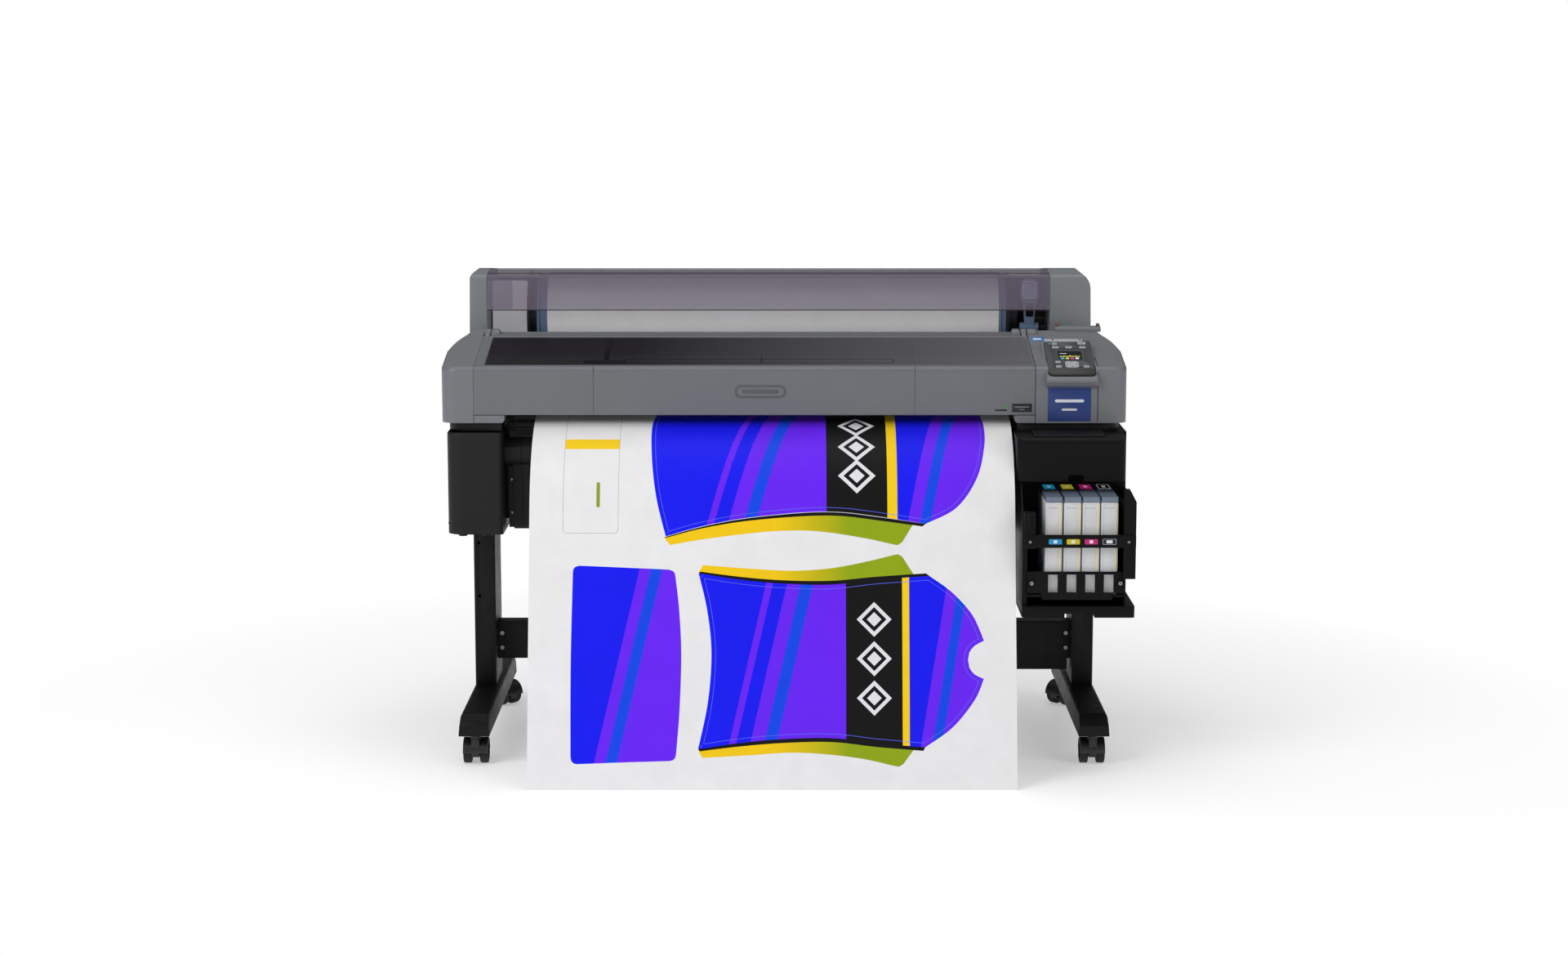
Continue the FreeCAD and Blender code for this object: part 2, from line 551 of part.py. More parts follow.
def roll_tangent():
    """Point (y, z) where the sheet leaves the roll, on a tangent to the entry."""
    dy, dz = ROLL_Y - ENTRY_Y, ROLL_Z - ENTRY_Z
    distance = math.hypot(dy, dz)
    radius = ROLL_R + SHEET_T / 2 + 0.6
    angle = math.atan2(dz, dy) - math.asin(radius / distance)
    length = math.sqrt(distance * distance - radius * radius)
    return (ENTRY_Y + length * math.cos(angle), ENTRY_Z + length * math.sin(angle))


def strip(points, thickness):
    """Closed outline of a bent sheet along a centre line."""
    left, right = [], []
    for i, (y, z) in enumerate(points):
        before = points[max(0, i - 1)]
        after = points[min(len(points) - 1, i + 1)]
        dy, dz = after[0] - before[0], after[1] - before[1]
        scale = thickness / 2 / math.hypot(dy, dz)
        left.append((y - dz * scale, z + dy * scale))
        right.append((y + dz * scale, z - dy * scale))
    return left + right[::-1]


roll = cyl_x(ROLL_X0, ROLL_X1, ROLL_Y, ROLL_Z, ROLL_R)
save("media_roll", roll.cut(cyl_x(ROLL_X0 - 1, ROLL_X1 + 1, ROLL_Y, ROLL_Z, CORE_R)))
save("roll_adapter_left", stepped(LEFT_ADAPTER))
save("roll_adapter_right", stepped(RIGHT_ADAPTER))

lever = prism_y(229, 243, [  # (x, z)
    (596, 985), (618, 985), (622, 1040), (630, 1062), (628, 1100),
    (616, 1108), (598, 1108), (586, 1100), (584, 1062), (592, 1040)],
    [0, 0, 20, 16, 10, 8, 8, 10, 16, 20])
lever = lever.fuse(cyl_x(584, 630, *LEVER_AXIS, 12))
lever = lever.cut(cyl_x(570, 632, *LEVER_AXIS, LEVER_PIN_R + 0.06))
save("roll_lock_lever", lever.removeSplitter())

sheet = prism_x(ROLL_X0, ROLL_X1, strip([roll_tangent()] + SHEET_PATH, SHEET_T))
save("printed_sheet", sheet.common(box(-700, 700, Y_FRONT, 600, 0, 1200)))

# ------------------------------------------------------------------ mechanism
PLATEN_X0, PLATEN_X1 = -640, 545
PLATEN_FRONT_Y, PLATEN_Z = -111.5, 810.2
PLATEN_END_T = 12
MECH_Z0 = 784             # bottom of the platen ribs, end plates and capping station
PINCH_PITCH, PINCH_W = 145, 40
CAR_X0, CAR_X1 = 585, 725
BLADE_X, BLADE_Y, BLADE_R = 655, -117, 5.0


def platen():
    x0, x1 = PLATEN_X0, PLATEN_X1
    bed = box(x0, x1, PLATEN_FRONT_Y, 14, ON_BASE_Z, PLATEN_Z)
    bed = fillet(bed, 3.0, lambda edge: all(
        abs(v.Y - PLATEN_FRONT_Y) < 0.01 and abs(v.Z - PLATEN_Z) < 0.01
        for v in edge.Vertexes))
    bed = bed.fuse([box(x0, x1, -104, -100, MECH_Z0, 803), box(x0, x1, 4, 8, MECH_Z0, 803),
                    box(x0, x1, 46, 90, 804, 808), box(x0, x1, 84, 88, MECH_Z0, 805)])
    end_plate = [(-104, MECH_Z0), (90, MECH_Z0), (90, 806), (46, 812),
                 (42, 830), (18, 830), (14, 812), (-104, 806)]
    for end_x in (x0 - PLATEN_END_T, x1):
        bed = bed.fuse(prism_x(end_x, end_x + PLATEN_END_T, end_plate,
                               [0, 0, 0, 0, 6, 6, 0, 0]))
    bed = bed.removeSplitter()
    for z, radius in ((FEED_Z, FEED_SHAFT_R + 0.06), (PINCH_Z, PIN_HOLE_R)):
        for hole_x0, hole_x1 in ((-660, -630), (535, 560)):
            bed = bed.cut(cyl_x(hole_x0, hole_x1, FEED_Y, z, radius))
    return bed


def carriage():
    car = box(CAR_X0, CAR_X1, -105, 12, 816, 905)
    car = fillet(car, 8.0, lambda edge: z_span(edge) > 50 and edge.Vertexes[0].Y < 0)
    car = car.fuse([
        box(CAR_X0, CAR_X1, 11, 53.5, 900.06, 909),                         # over the rail
        box(595, 615, 11, 13.94, 865, 895), box(695, 715, 11, 13.94, 865, 895),  # rail pads
        box(635, 675, 50, 53.5, 905, 938),                                  # up to the belt
        box(645, 665, -128, -104, 842, 866)])                               # blade holder
    return car.cut(cyl_z(830, 880, BLADE_X, BLADE_Y, BLADE_R + 0.06)).removeSplitter()


def belt_loop(radius, y0, y1):
    band = box(IDLER_X, MOTOR_X, y0, y1, BELT_Z - radius, BELT_Z + radius)
    return band.fuse([cyl_y(y0, y1, x, BELT_Z, radius) for x in (IDLER_X, MOTOR_X)])


def pulley(x):
    """Flanged pulley with four small holes around its pin."""
    wheel = cyl_y(53.0, 63.0, x, BELT_Z, 9.0)
    wheel = wheel.fuse([cyl_y(53.0, 54.0, x, BELT_Z, 12.0), cyl_y(62.0, 63.0, x, BELT_Z, 12.0)])
    wheel = wheel.cut(cyl_y(50, 66, x, BELT_Z, PIN_HOLE_R))
    for i in range(4):
        angle = math.pi / 4 + i * math.pi / 2
        wheel = wheel.cut(cyl_y(50, 66, x + 6.0 * math.cos(angle),
                                BELT_Z + 6.0 * math.sin(angle), 1.4))
    return wheel.removeSplitter()


save("platen", platen())
save("feed_roller", fuse(cyl_x(-620, 536, FEED_Y, FEED_Z, FEED_R),
                         cyl_x(-651, -619, FEED_Y, FEED_Z, FEED_SHAFT_R),
                         cyl_x(535, 556, FEED_Y, FEED_Z, FEED_SHAFT_R)))
pinch_starts = [-575 + i * PINCH_PITCH for i in range(8)]
save("pinch_rollers", fuse(cyl_x(-651, 556, FEED_Y, PINCH_Z, PIN_R),
                           *[cyl_x(x, x + PINCH_W, FEED_Y, PINCH_Z, PINCH_R)
                             for x in pinch_starts]))

rail = box(-718, 742, 14, 44, 860, 900).cut(box(-719, 743, 18, 45, 864, 896))
save("carriage_rail", fuse(
    rail,
    box(-726, -718, 10, 70, MECH_Z0, 912), box(742, 750, 10, 70, MECH_Z0, 912),
    box(-726, -699, 66, 70, 870, 944), box(742, 766, 66, 70, 870, 944),
    cyl_y(52.4, 67, IDLER_X, BELT_Z, PIN_R), cyl_y(52.4, 67, MOTOR_X, BELT_Z, PIN_R)))
save("carriage", carriage())
save("cutter_blade", fuse(
    cyl_z(824, 884, BLADE_X, BLADE_Y, BLADE_R), cyl_z(884, 888, BLADE_X, BLADE_Y, 7.5),
    prism_y(-117.5, -116.5, [(651.5, 826), (658.5, 826), (658.5, 820), (652.5, 814)])))
belt = belt_loop(BELT_R + 1.5, 54.2, 61.8).cut(belt_loop(BELT_R, 50, 65))
save("drive_belt", belt.removeSplitter())
save("idler_pulley", pulley(IDLER_X))
save("motor_pulley", pulley(MOTOR_X))
caps = [box(x, x + 18, -82, -18, 805, 814).cut(box(x + 2, x + 16, -80, -20, 809, 815))
        for x in (612 + 24 * i for i in range(4))]
save("capping_station", fuse(box(605, 705, -95, -5, MECH_Z0, 806), *caps))

# ---------------------------------------------------------------- lower front
GUIDE_X1 = 540
PLATE_X1 = -642.4         # joint between the end plate and the low panel
EXIT_GROOVES = [          # grooves under the paper exit: (z0, z1, back y)
    (791.0, 793.0, -119.2), (782.0, 785.5, -118.2),
    (773.5, 776.0, -118.8), (766.5, 769.0, -119.0)]
GUIDE_SEAM = [            # (y, z); its back edge runs just inside the guide's front
    (-200, 500), (-200, 758.6), (-122, 758.6), (-133.8, 754.0), (-147.4, 748.1),
    (-157.0, 739.6), (-157.0, 714.6), (-146.4, 704), (-126.3, 695), (-121.1, 546),
    (-116, 541.5), (-116, 500)]


def left_lower_casing():
    back_y = 35
    casing = prism_z(538, UNDER_Z, rect(-793, -661, -200, back_y), [38, 10, 0, 0])
    casing = fillet(casing, 7.0, lambda edge: (
        all(abs(v.Z - UNDER_Z) < 0.01 for v in edge.Vertexes)
        and not all(v.Y > back_y - 1 for v in edge.Vertexes)))
    casing = casing.cut(prism_z(542, 790, rect(-789, -665, -196, 31), [34, 6, 0, 0]))
    band = prism_z(559.5, 562.0, rect(-794, -660.5, -201, back_y), [39, 10, 0, 0])
    band = band.cut(prism_z(550, 570, rect(-790, -664, -197, 32), [35, 6, 0, 0]))
    studs = [cyl_z(532, 539, x, y, 10) for x, y in ((-758, -175), (-700, -175), (-758, 10))]
    return fuse(casing, band, *studs)


def lower_front_guide():
    nose = prism_x(-660, GUIDE_X1, [
        (-121.8, 759), (-134, 755), (-148, 749), (-158, 740), (-158, 714),
        (-147, 703), (-128, 694), (-92, 694), (-92, 759)], [0, 20, 20, 7, 7, 10, 8, 0, 0])
    top_lip = prism_x(-651, GUIDE_X1, [(-111.5, 758), (-111.5, 796.5), (-120, 796.5),
                                       (-122, 758)], [0, 2, 3, 0])
    low_panel = prism_x(PLATE_X1, GUIDE_X1, [(-127, 695), (-122, 546), (-112, 538),
                                             (-92, 538), (-92, 695)], [0, 5, 4, 0, 0])
    guide = fuse(nose, top_lip, box(-651, GUIDE_X1, -112, -92, 758, 780), low_panel)
    for z0, z1, back_y in EXIT_GROOVES:
        guide = guide.cut(box(-636, 541, -125, back_y, z0, z1))
    # three round bosses at the left end, then the holes in and beside them
    guide = guide.fuse([cyl_y(-124.5, -118, -643.4, 790, 3.2),
                        cyl_y(-124.8, -118, -639.5, 777, 5.0),
                        cyl_y(-123.6, -118, -618.4, 779.5, 2.4)])
    guide = guide.cut(cyl_y(-126, -117, -639.5, 777, 2.1))
    guide = guide.cut(cyl_y(-126, -117, -643.4, 790.4, 1.3))
    end_hole = cyl_y(-124, -116.5, -648.6, 782, 3.6)
    guide = guide.cut(end_hole.common(box(-650.5, -640, -130, -100, 700, 800)))
    guide = guide.cut(prism_x(-620.5, -619.5, GUIDE_SEAM, [0, 0, 0, 20, 18, 6, 6, 9, 8, 5, 0, 0]))
    rear_box = box(-660, 545, -92.5, 300, 560, UNDER_Z).cut(box(-657, 542, -89, 297, 559, 777))
    end_plate = prism_x(-653.5, PLATE_X1, rect(-123, -92, 543, 692), [3, 0, 0, 3])
    screws = [cyl_y(-126.5, -122, -646.6, z, 3.8) for z in (579.1, 658.6)]
    return fuse(guide, rear_box, end_plate, *screws)


def ink_cover():
    """Lid over the ink tanks, open below and behind."""
    outer = prism_x(537, 789, [(-325, 683), (-325, 784), (-197, 784), (-197, 683)],
                    [0, 16, 0, 0])
    outer = outer.common(prism_z(600, 900, rect(537, 789, -325, -190), [24, 18, 0, 0]))
    outer = outer.common(prism_y(-400, -100, rect(537, 789, 683, 800), [9, 5, 0, 0]))
    inner = prism_x(540, 786, [(-322, 600), (-322, 781), (-180, 781), (-180, 600)],
                    [0, 13, 0, 0])
    inner = inner.common(prism_z(600, 900, rect(540, 786, -322, -150), [21, 15, 0, 0]))
    lid = outer.cut(inner)
    # notch in the lower front edge
    lid = lid.cut(prism_y(-330, -318, rect(655, 691, 680, 698), [0, 0, 6, 6]))
    hump = prism_x(577, 741, [(-307, 782), (-307, 786.5), (-303, 789.5), (-207, 789.5),
                              (-203, 785), (-203, 782)], [0, 2, 3, 4, 2, 0])
    for x in (587.0, 729.5):    # joints between the hinge barrels and the strip
        hump = hump.cut(prism_x(x, x + 1.5, [(-310, 788.3), (-310, 792),
                                             (-200, 792), (-200, 788.3)]))
    lid = lid.fuse(hump)
    lid = lid.cut(prism_x(581, 737, [(-303, 778), (-303, 786), (-208, 786), (-208, 778)]))
    for x0 in (530, 780):
        lid = lid.cut(cyl_x(x0, x0 + 16, *LID_PIVOT, PIN_HOLE_R))
    return lid.removeSplitter()


save("left_lower_casing", left_lower_casing())
save("lower_front_guide", lower_front_guide())
save("ink_cover", ink_cover())

# ------------------------------------------------------------------- ink unit
TANKS = [(598.0, 637.0), (640.5, 680.0), (683.0, 722.5), (725.5, 765.0)]   # (x0, x1)
RACK_FRONT_Y, RACK_BACK_Y = -184, 35
RACK_Z0 = 406


def lug(x0, x1):
    """Carries the lid pivot, kept below the lid's swept path."""
    arm = [(-214.5, 772), (-214.5, 738), (-183, 738), (-183, 752), (-199.5, 758), (-199.5, 772)]
    return cyl_x(x0, x1, *LID_PIVOT, 7.5).fuse(prism_x(x0, x1, arm, [0, 4, 0, 0, 4, 0]))


def rack_body():
    case = box(548, HALF_W, RACK_FRONT_Y, RACK_BACK_Y, RACK_Z0, UNDER_Z)
    case = case.cut(box(551, 801, -181, 32, 409, 777))
    return fuse(case, lug(541, 549), lug(778, 785),
                cyl_x(537.3, 542, *LID_PIVOT, PIN_R), cyl_x(784, 788.7, *LID_PIVOT, PIN_R))


def rack_sides():
    """Left and right side plates with their front uprights."""
    left_plate = prism_x(545.5, 549.2, [
        (-398, RACK_Z0), (RACK_FRONT_Y, RACK_Z0), (RACK_FRONT_Y, 682), (-316, 682),
        (-398, 596)], [0, 0, 0, 8, 30])
    left = fuse(left_plate, box(549, 557, -398, -390, RACK_Z0, 600), prism_y(
        -408, -380, [(549, 540), (575, 540), (575, 620), (572, 623), (549, 623)]))
    right = fuse(
        box(780, 783, -398, RACK_FRONT_Y, RACK_Z0, 640),
        prism_y(-408, -380, [(777, 470), (804, 470), (804, 648), (790, 675), (777, 675)]),
        box(801, HALF_W, -381, RACK_FRONT_Y, 470, 648))
    return left, right


def rack_base():
    base = prism_z(380, RACK_Z0, rect(545.5, HALF_W, -408, RACK_BACK_Y), [12, 8, 0, 0])
    base = base.cut(box(643, 712, -420, 40, 379, 389))
    base = base.cut(box(552, 640, -404, 31, 379, 402)).cut(box(715, 800, -404, 31, 379, 402))
    return base.removeSplitter()


def front_bracket():
    """Plate across the front of the tanks, with four windows."""
    plate = box(557, 780, -401, -398, 436, 486)
    plate = plate.fuse(prism_y(-401, -398, rect(590, 753, 420, 437)[::1], [6, 6, 0, 0]))
    for i in range(4):
        plate = plate.cut(box(605 + 42.6 * i, 627 + 42.6 * i, -405, -395, 437.5, 479))
    return plate.removeSplitter()


shelf = box(557, 779.5, -397, RACK_FRONT_Y, 426, 432)
thumbscrews = [cyl_y(-407, -401, x, 460, 5.5) for x in (567.0, 770.0)]
strap = prism_y(-411, -408, rect(550, HALF_W, 543, 573), 3)
strap_screws = [cyl_y(-413.5, -411, x, 557, 4.0) for x in (562.0, 787.0)]
save("ink_rack", rack_body(), *rack_sides(), shelf, rack_base(), front_bracket(), strap,
     *thumbscrews, *strap_screws)

save("ink_tanks", *[prism_y(-390, -188, rect(x0, x1, 432.2, 645), [3, 3, 4, 4])
                    for x0, x1 in TANKS])
for number, (x0, x1) in enumerate(TANKS, 1):
    slider = prism_x(x0 + 1, x1 - 1, [(-391, 645.2), (-391, 656.5), (-188, 656.5),
                                      (-188, 645.2)], [1, 3, 1, 0])
    slider = slider.cut(box(x0 + 9, x1 - 6, -309, -307.4, 655.7, 660))
    save("ink_slider_%d" % number, slider.removeSplitter())
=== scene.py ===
"""Wide roll-fed printer on a wheeled stand, with printed paper hanging to the floor.

X runs along the machine, the front faces -Y and +Z is up, with the floor at z = 0.
Geometry is given in millimetres and scaled to metres by MM; shader lengths are in metres.
The CAD pieces get materials and bevels; the paper, roll, tanks and small parts are built here.
"""
import math
import bmesh
import bpy
import numpy as np
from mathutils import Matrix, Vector
from mathutils.geometry import delaunay_2d_cdt

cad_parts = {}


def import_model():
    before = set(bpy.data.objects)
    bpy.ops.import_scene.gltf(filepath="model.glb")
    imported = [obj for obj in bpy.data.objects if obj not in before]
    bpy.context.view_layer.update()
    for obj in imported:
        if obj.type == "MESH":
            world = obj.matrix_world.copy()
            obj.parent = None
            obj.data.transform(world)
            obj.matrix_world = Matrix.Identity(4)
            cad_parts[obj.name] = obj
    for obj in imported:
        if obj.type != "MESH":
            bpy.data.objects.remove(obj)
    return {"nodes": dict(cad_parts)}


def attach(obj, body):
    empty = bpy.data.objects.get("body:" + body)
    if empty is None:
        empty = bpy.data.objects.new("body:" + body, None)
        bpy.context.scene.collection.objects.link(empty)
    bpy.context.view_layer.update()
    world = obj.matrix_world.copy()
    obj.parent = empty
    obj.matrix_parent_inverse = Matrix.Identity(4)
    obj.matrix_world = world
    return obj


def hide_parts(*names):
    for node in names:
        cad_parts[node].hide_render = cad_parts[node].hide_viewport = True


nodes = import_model()["nodes"]
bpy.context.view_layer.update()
SCENE = bpy.context.scene
MM = 0.001


# ============================================================ shader graph
MATERIALS = {}          # every material by the name it was asked for
MID = (0.3, 0.7)        # the range most noise values fall in


def linear(rgb):
    """sRGB 0..255 to linear."""
    out = []
    for v in rgb:
        v = v / 255.0
        out.append(v / 12.92 if v <= 0.04045 else ((v + 0.055) / 1.055) ** 2.4)
    return out


def shade(colour, gain, lift=0.0):
    """Linear colour made darker or paler."""
    return [min(1, v * gain + lift) for v in colour]


class Graph:
    """A new material with a Principled shader, and short ways to wire nodes to it."""

    def __init__(self, name):
        self.material = bpy.data.materials.new(name)
        self.material.use_nodes = True
        self.tree = self.material.node_tree
        self.tree.nodes.clear()
        self.out = self.node("ShaderNodeOutputMaterial")
        self.bsdf = self.node("ShaderNodeBsdfPrincipled")
        self.feed(self.out.inputs[0], self.bsdf.outputs[0])
        self.object = self.node("ShaderNodeTexCoord").outputs["Object"]
        MATERIALS[name] = self.material

    def node(self, kind, **settings):
        node = self.tree.nodes.new(kind)
        for key, value in settings.items():
            setattr(node, key, value)
        return node

    def feed(self, socket, value):
        if isinstance(value, bpy.types.NodeSocket):
            self.tree.links.new(value, socket)
        elif isinstance(value, (list, tuple)) and len(value) == 3 and socket.type == "RGBA":
            socket.default_value = (*value, 1.0)
        else:
            socket.default_value = value

    def noise(self, scale, detail=3.0, stretch=None):
        vector = self.object
        if stretch:
            mapping = self.node("ShaderNodeMapping")
            self.feed(mapping.inputs["Vector"], self.object)
            mapping.inputs["Scale"].default_value = stretch
            vector = mapping.outputs[0]
        node = self.node("ShaderNodeTexNoise")
        self.feed(node.inputs["Vector"], vector)
        node.inputs["Scale"].default_value = scale
        node.inputs["Detail"].default_value = detail
        node.inputs["Roughness"].default_value = 0.55
        return node.outputs[0]

    def cells(self, scale):
        node = self.node("ShaderNodeTexVoronoi", feature="F1")
        self.feed(node.inputs["Vector"], self.object)
        node.inputs["Scale"].default_value = scale
        return node.outputs[0]

    def math(self, operation, a, b, clamp=False):
        node = self.node("ShaderNodeMath", operation=operation, use_clamp=clamp)
        self.feed(node.inputs[0], a)
        self.feed(node.inputs[1], b)
        return node.outputs[0]

    def add(self, a, b, clamp=False):
        return self.math("ADD", a, b, clamp)

    def times(self, a, b):
        return self.math("MULTIPLY", a, b)

    def weighted(self, a, weight_a, b, weight_b):
        return self.add(self.times(a, weight_a), self.times(b, weight_b))

    def span(self, value, source, to=(0.0, 1.0)):
        """Clamped change of range."""
        node = self.node("ShaderNodeMapRange")
        node.clamp = True
        self.feed(node.inputs[0], value)
        for i, limit in enumerate((*source, *to)):
            node.inputs[i + 1].default_value = limit
        return node.outputs[0]

    def sheen(self, value, rough, less, more):
        """Roughness that drifts from rough - less to rough + more."""
        return self.span(value, MID, to=(rough - less, rough + more))

    def mix(self, factor, a, b):
        node = self.node("ShaderNodeMix", data_type="RGBA")
        self.feed(node.inputs[0], factor)
        self.feed(node.inputs[6], a)
        self.feed(node.inputs[7], b)
        return node.outputs[2]

    def vary(self, mask, colour, dark, light, lift=0.0):
        """Drift between two shades of one colour."""
        return self.mix(mask, shade(colour, dark), shade(colour, light, lift))

    def separate(self, vector):
        node = self.node("ShaderNodeSeparateXYZ")
        self.feed(node.inputs[0], vector)
        return node.outputs

    def position(self):
        return self.separate(self.node("ShaderNodeNewGeometry").outputs["Position"])

    def edge(self, radius):
        """Mask that is 1 on edges and 0 on flats, and the rounded normal."""
        bevel = self.node("ShaderNodeBevel", samples=4)
        bevel.inputs["Radius"].default_value = radius
        geometry = self.node("ShaderNodeNewGeometry")
        dot = self.node("ShaderNodeVectorMath", operation="DOT_PRODUCT")
        self.feed(dot.inputs[0], bevel.outputs[0])
        self.feed(dot.inputs[1], geometry.outputs["Normal"])
        turn = self.math("SUBTRACT", 1.0, dot.outputs["Value"])
        return self.span(turn, (0.015, 0.22)), bevel.outputs[0]

    def bump(self, height, distance, strength, normal=None):
        node = self.node("ShaderNodeBump")
        node.inputs["Strength"].default_value = strength
        node.inputs["Distance"].default_value = distance
        self.feed(node.inputs["Height"], height)
        if normal is not None:
            self.feed(node.inputs["Normal"], normal)
        return node.outputs[0]

    def surface(self, colour, rough, normal, metal=0.0, spec=0.5, **others):
        inputs = self.bsdf.inputs
        self.feed(inputs["Base Color"], colour)
        self.feed(inputs["Roughness"], rough)
        self.feed(inputs["Normal"], normal)
        self.feed(inputs["Metallic"], metal)
        self.feed(inputs["Specular IOR Level"], spec)
        for key, value in others.items():
            self.feed(inputs[key], value)


# ============================================================ material recipes
def moulded(name, rgb, rough=0.5, var=0.05, grain=900.0, wear_and_highlight=0.30, lift=1.5, spec=0.45,
            skirt=None, between=None):
    """Moulded plastic: fine grain, slow tone drift, paler edges that are partly rubbed wear and
    partly painted highlight, uneven sheen.

    skirt (z from, z to, rgb) darkens below a height; between (x from, x to, rgb)
    darkens a stretch along the machine.
    """
    g = Graph(name)
    base = linear(rgb)
    tone = g.weighted(g.noise(scale=5.0, detail=4.0), 0.7, g.noise(scale=70.0), 0.3)
    colour = g.vary(g.span(tone, (0.32, 0.68)), base, dark=1 - var, light=1 + var)
    edge, rounded_normal = g.edge(radius=0.0014)
    patches = g.span(g.noise(scale=45.0, detail=4.0), (0.35, 0.65), to=(0.35, 1.0))
    # paler edges: partly rubbed wear, partly a painted highlight along them
    rub_and_highlight = g.times(g.times(edge, wear_and_highlight), patches)
    colour = g.mix(rub_and_highlight, colour, shade(base, gain=lift, lift=0.012))
    if skirt:
        low, high, dark = skirt
        mask = g.span(g.position()[2], (low, high), to=(1.0, 0.0))
        colour = g.mix(mask, colour, linear(dark))
    if between:
        low, high, dark = between
        fade = 0.0004
        x = g.position()[0]
        mask = g.times(g.span(x, (low, low + fade)), g.span(x, (high, high + fade), to=(1.0, 0.0)))
        colour = g.mix(mask, colour, linear(dark))
    height = g.weighted(g.cells(grain), 0.6, g.noise(scale=grain * 1.9, detail=2.0), 0.4)
    normal = g.bump(height, distance=0.00006, strength=0.55, normal=rounded_normal)
    sheen = g.sheen(g.noise(scale=22.0, detail=5.0), rough, less=0.05, more=0.06)
    g.surface(colour, g.add(sheen, g.times(rub_and_highlight, -0.1)), normal, spec=spec)


def coated_metal(name, rgb):
    """Powder-coated steel: orange-peel bump, slight tone drift, paler edges that are partly rubbed
    wear and partly painted highlight.
    """
    g = Graph(name)
    base = linear(rgb)
    drift = g.span(g.noise(scale=9.0, detail=4.0), MID)
    colour = g.vary(drift, base, dark=0.9, light=1.12)
    edge, rounded_normal = g.edge(radius=0.0016)
    patches = g.span(g.noise(scale=60.0, detail=4.0), (0.4, 0.62), to=(0.2, 1.0))
    # paler edges: partly rubbed wear, partly a painted highlight along them
    rub_and_highlight = g.times(g.times(edge, 0.35), patches)
    colour = g.mix(rub_and_highlight, colour, shade(base, gain=2.2, lift=0.02))
    fine_peel = g.times(g.noise(scale=1300.0, detail=2.0), 0.5)
    peel = g.add(g.noise(scale=420.0, detail=2.0), fine_peel)
    g.surface(colour, g.sheen(g.noise(scale=35.0, detail=4.0), 0.48, less=0.06, more=0.08),
              g.bump(peel, distance=0.00008, strength=0.6, normal=rounded_normal), spec=0.2)


def bare_metal(name, rgb, rough, brush):
    """Turned or extruded metal; brush stretches the fine drawn lines."""
    g = Graph(name)
    base = linear(rgb)
    lines = g.noise(scale=160.0, detail=4.0, stretch=brush)
    colour = g.vary(g.span(lines, MID), base, dark=0.82, light=1.1)
    edge, rounded_normal = g.edge(radius=0.0006)
    # painted highlight: the edges are made paler than the flats
    colour = g.mix(g.times(edge, 0.4), colour, shade(base, gain=1.4))
    g.surface(colour, g.sheen(lines, rough, less=0.06, more=0.14),
              g.bump(lines, distance=0.00003, strength=0.5, normal=rounded_normal), metal=1.0)


def rubber(name, rgb, rough):
    """Matt rubber with dusty patches."""
    g = Graph(name)
    base = linear(rgb)
    dust = g.span(g.noise(scale=28.0, detail=5.0), (0.42, 0.74), to=(0.0, 0.35))
    colour = g.vary(dust, base, dark=0.95, light=1.5, lift=0.02)
    edge, rounded_normal = g.edge(radius=0.001)
    # paler edges: partly rubbed wear, partly a painted highlight along them
    colour = g.mix(g.times(edge, 0.3), colour, shade(base, gain=1.9, lift=0.03))
    grain = g.noise(scale=1500.0, detail=3.0)
    g.surface(colour, g.sheen(g.noise(scale=60.0), rough, less=0.08, more=0.1),
              g.bump(grain, distance=0.00012, strength=0.7, normal=rounded_normal), spec=0.3)


def acrylic(name, rgb):
    """Start of a tinted acrylic: graph, base colour, flow marks, scuffs and drifting tint."""
    g = Graph(name)
    base = linear(rgb)
    flow = g.noise(scale=3.0, stretch=(0.5, 2.0, 2.0))
    hairlines = g.noise(scale=240.0, detail=5.0, stretch=(0.15, 1.0, 1.0))
    scuff = g.span(hairlines, (0.60, 0.80), to=(0.0, 0.10))
    return g, base, flow, scuff, g.vary(g.span(flow, MID), base, dark=0.95, light=1.05)


def smoked(name, rgb, alpha, rough, spec, painted_reflection=None):
    """Dark see-through acrylic; painted_reflection is a painted reflection, a paler colour it
    fades to along X.
    """
    g, base, flow, scuff, colour = acrylic(name, rgb)
    edge, rounded_normal = g.edge(radius=0.0012)
    # painted highlight: the edges of the acrylic are made paler
    colour = g.mix(g.times(edge, 0.35), colour, shade(base, gain=2.0, lift=0.03))
    # painted reflection: the glass turns paler towards +X
    if painted_reflection:
        along = g.span(g.separate(g.object)[0], (-0.35, 0.62))
        colour = g.mix(along, colour, linear(painted_reflection))
    opacity = g.add(g.add(alpha, scuff), g.times(edge, 0.25), clamp=True)
    normal = g.bump(flow, distance=0.0004, strength=0.04, normal=rounded_normal)
    g.surface(colour, g.add(rough, scuff), normal, spec=spec, Alpha=opacity)


def clear_hood(name, rgb):
    """Clear acrylic lid with painted shade along its crown: darker and denser there."""
    g, base, flow, scuff, colour = acrylic(name, rgb)
    # painted shade: the rounded crown is darkened and made more opaque
    crown_shade = g.span(g.separate(g.object)[2], (1.1095, 1.1140))
    colour = g.mix(g.times(crown_shade, 0.7), colour, shade(base, gain=0.42))
    # the scuffs are wired in at zero strength
    opacity = g.add(g.add(0.34, g.times(scuff, 0.0)), g.times(crown_shade, 0.34), clamp=True)
    g.surface(colour, g.sheen(flow, 0.26, less=0.02, more=0.04),
              g.bump(flow, distance=0.0004, strength=0.04), spec=0.2, Alpha=opacity)


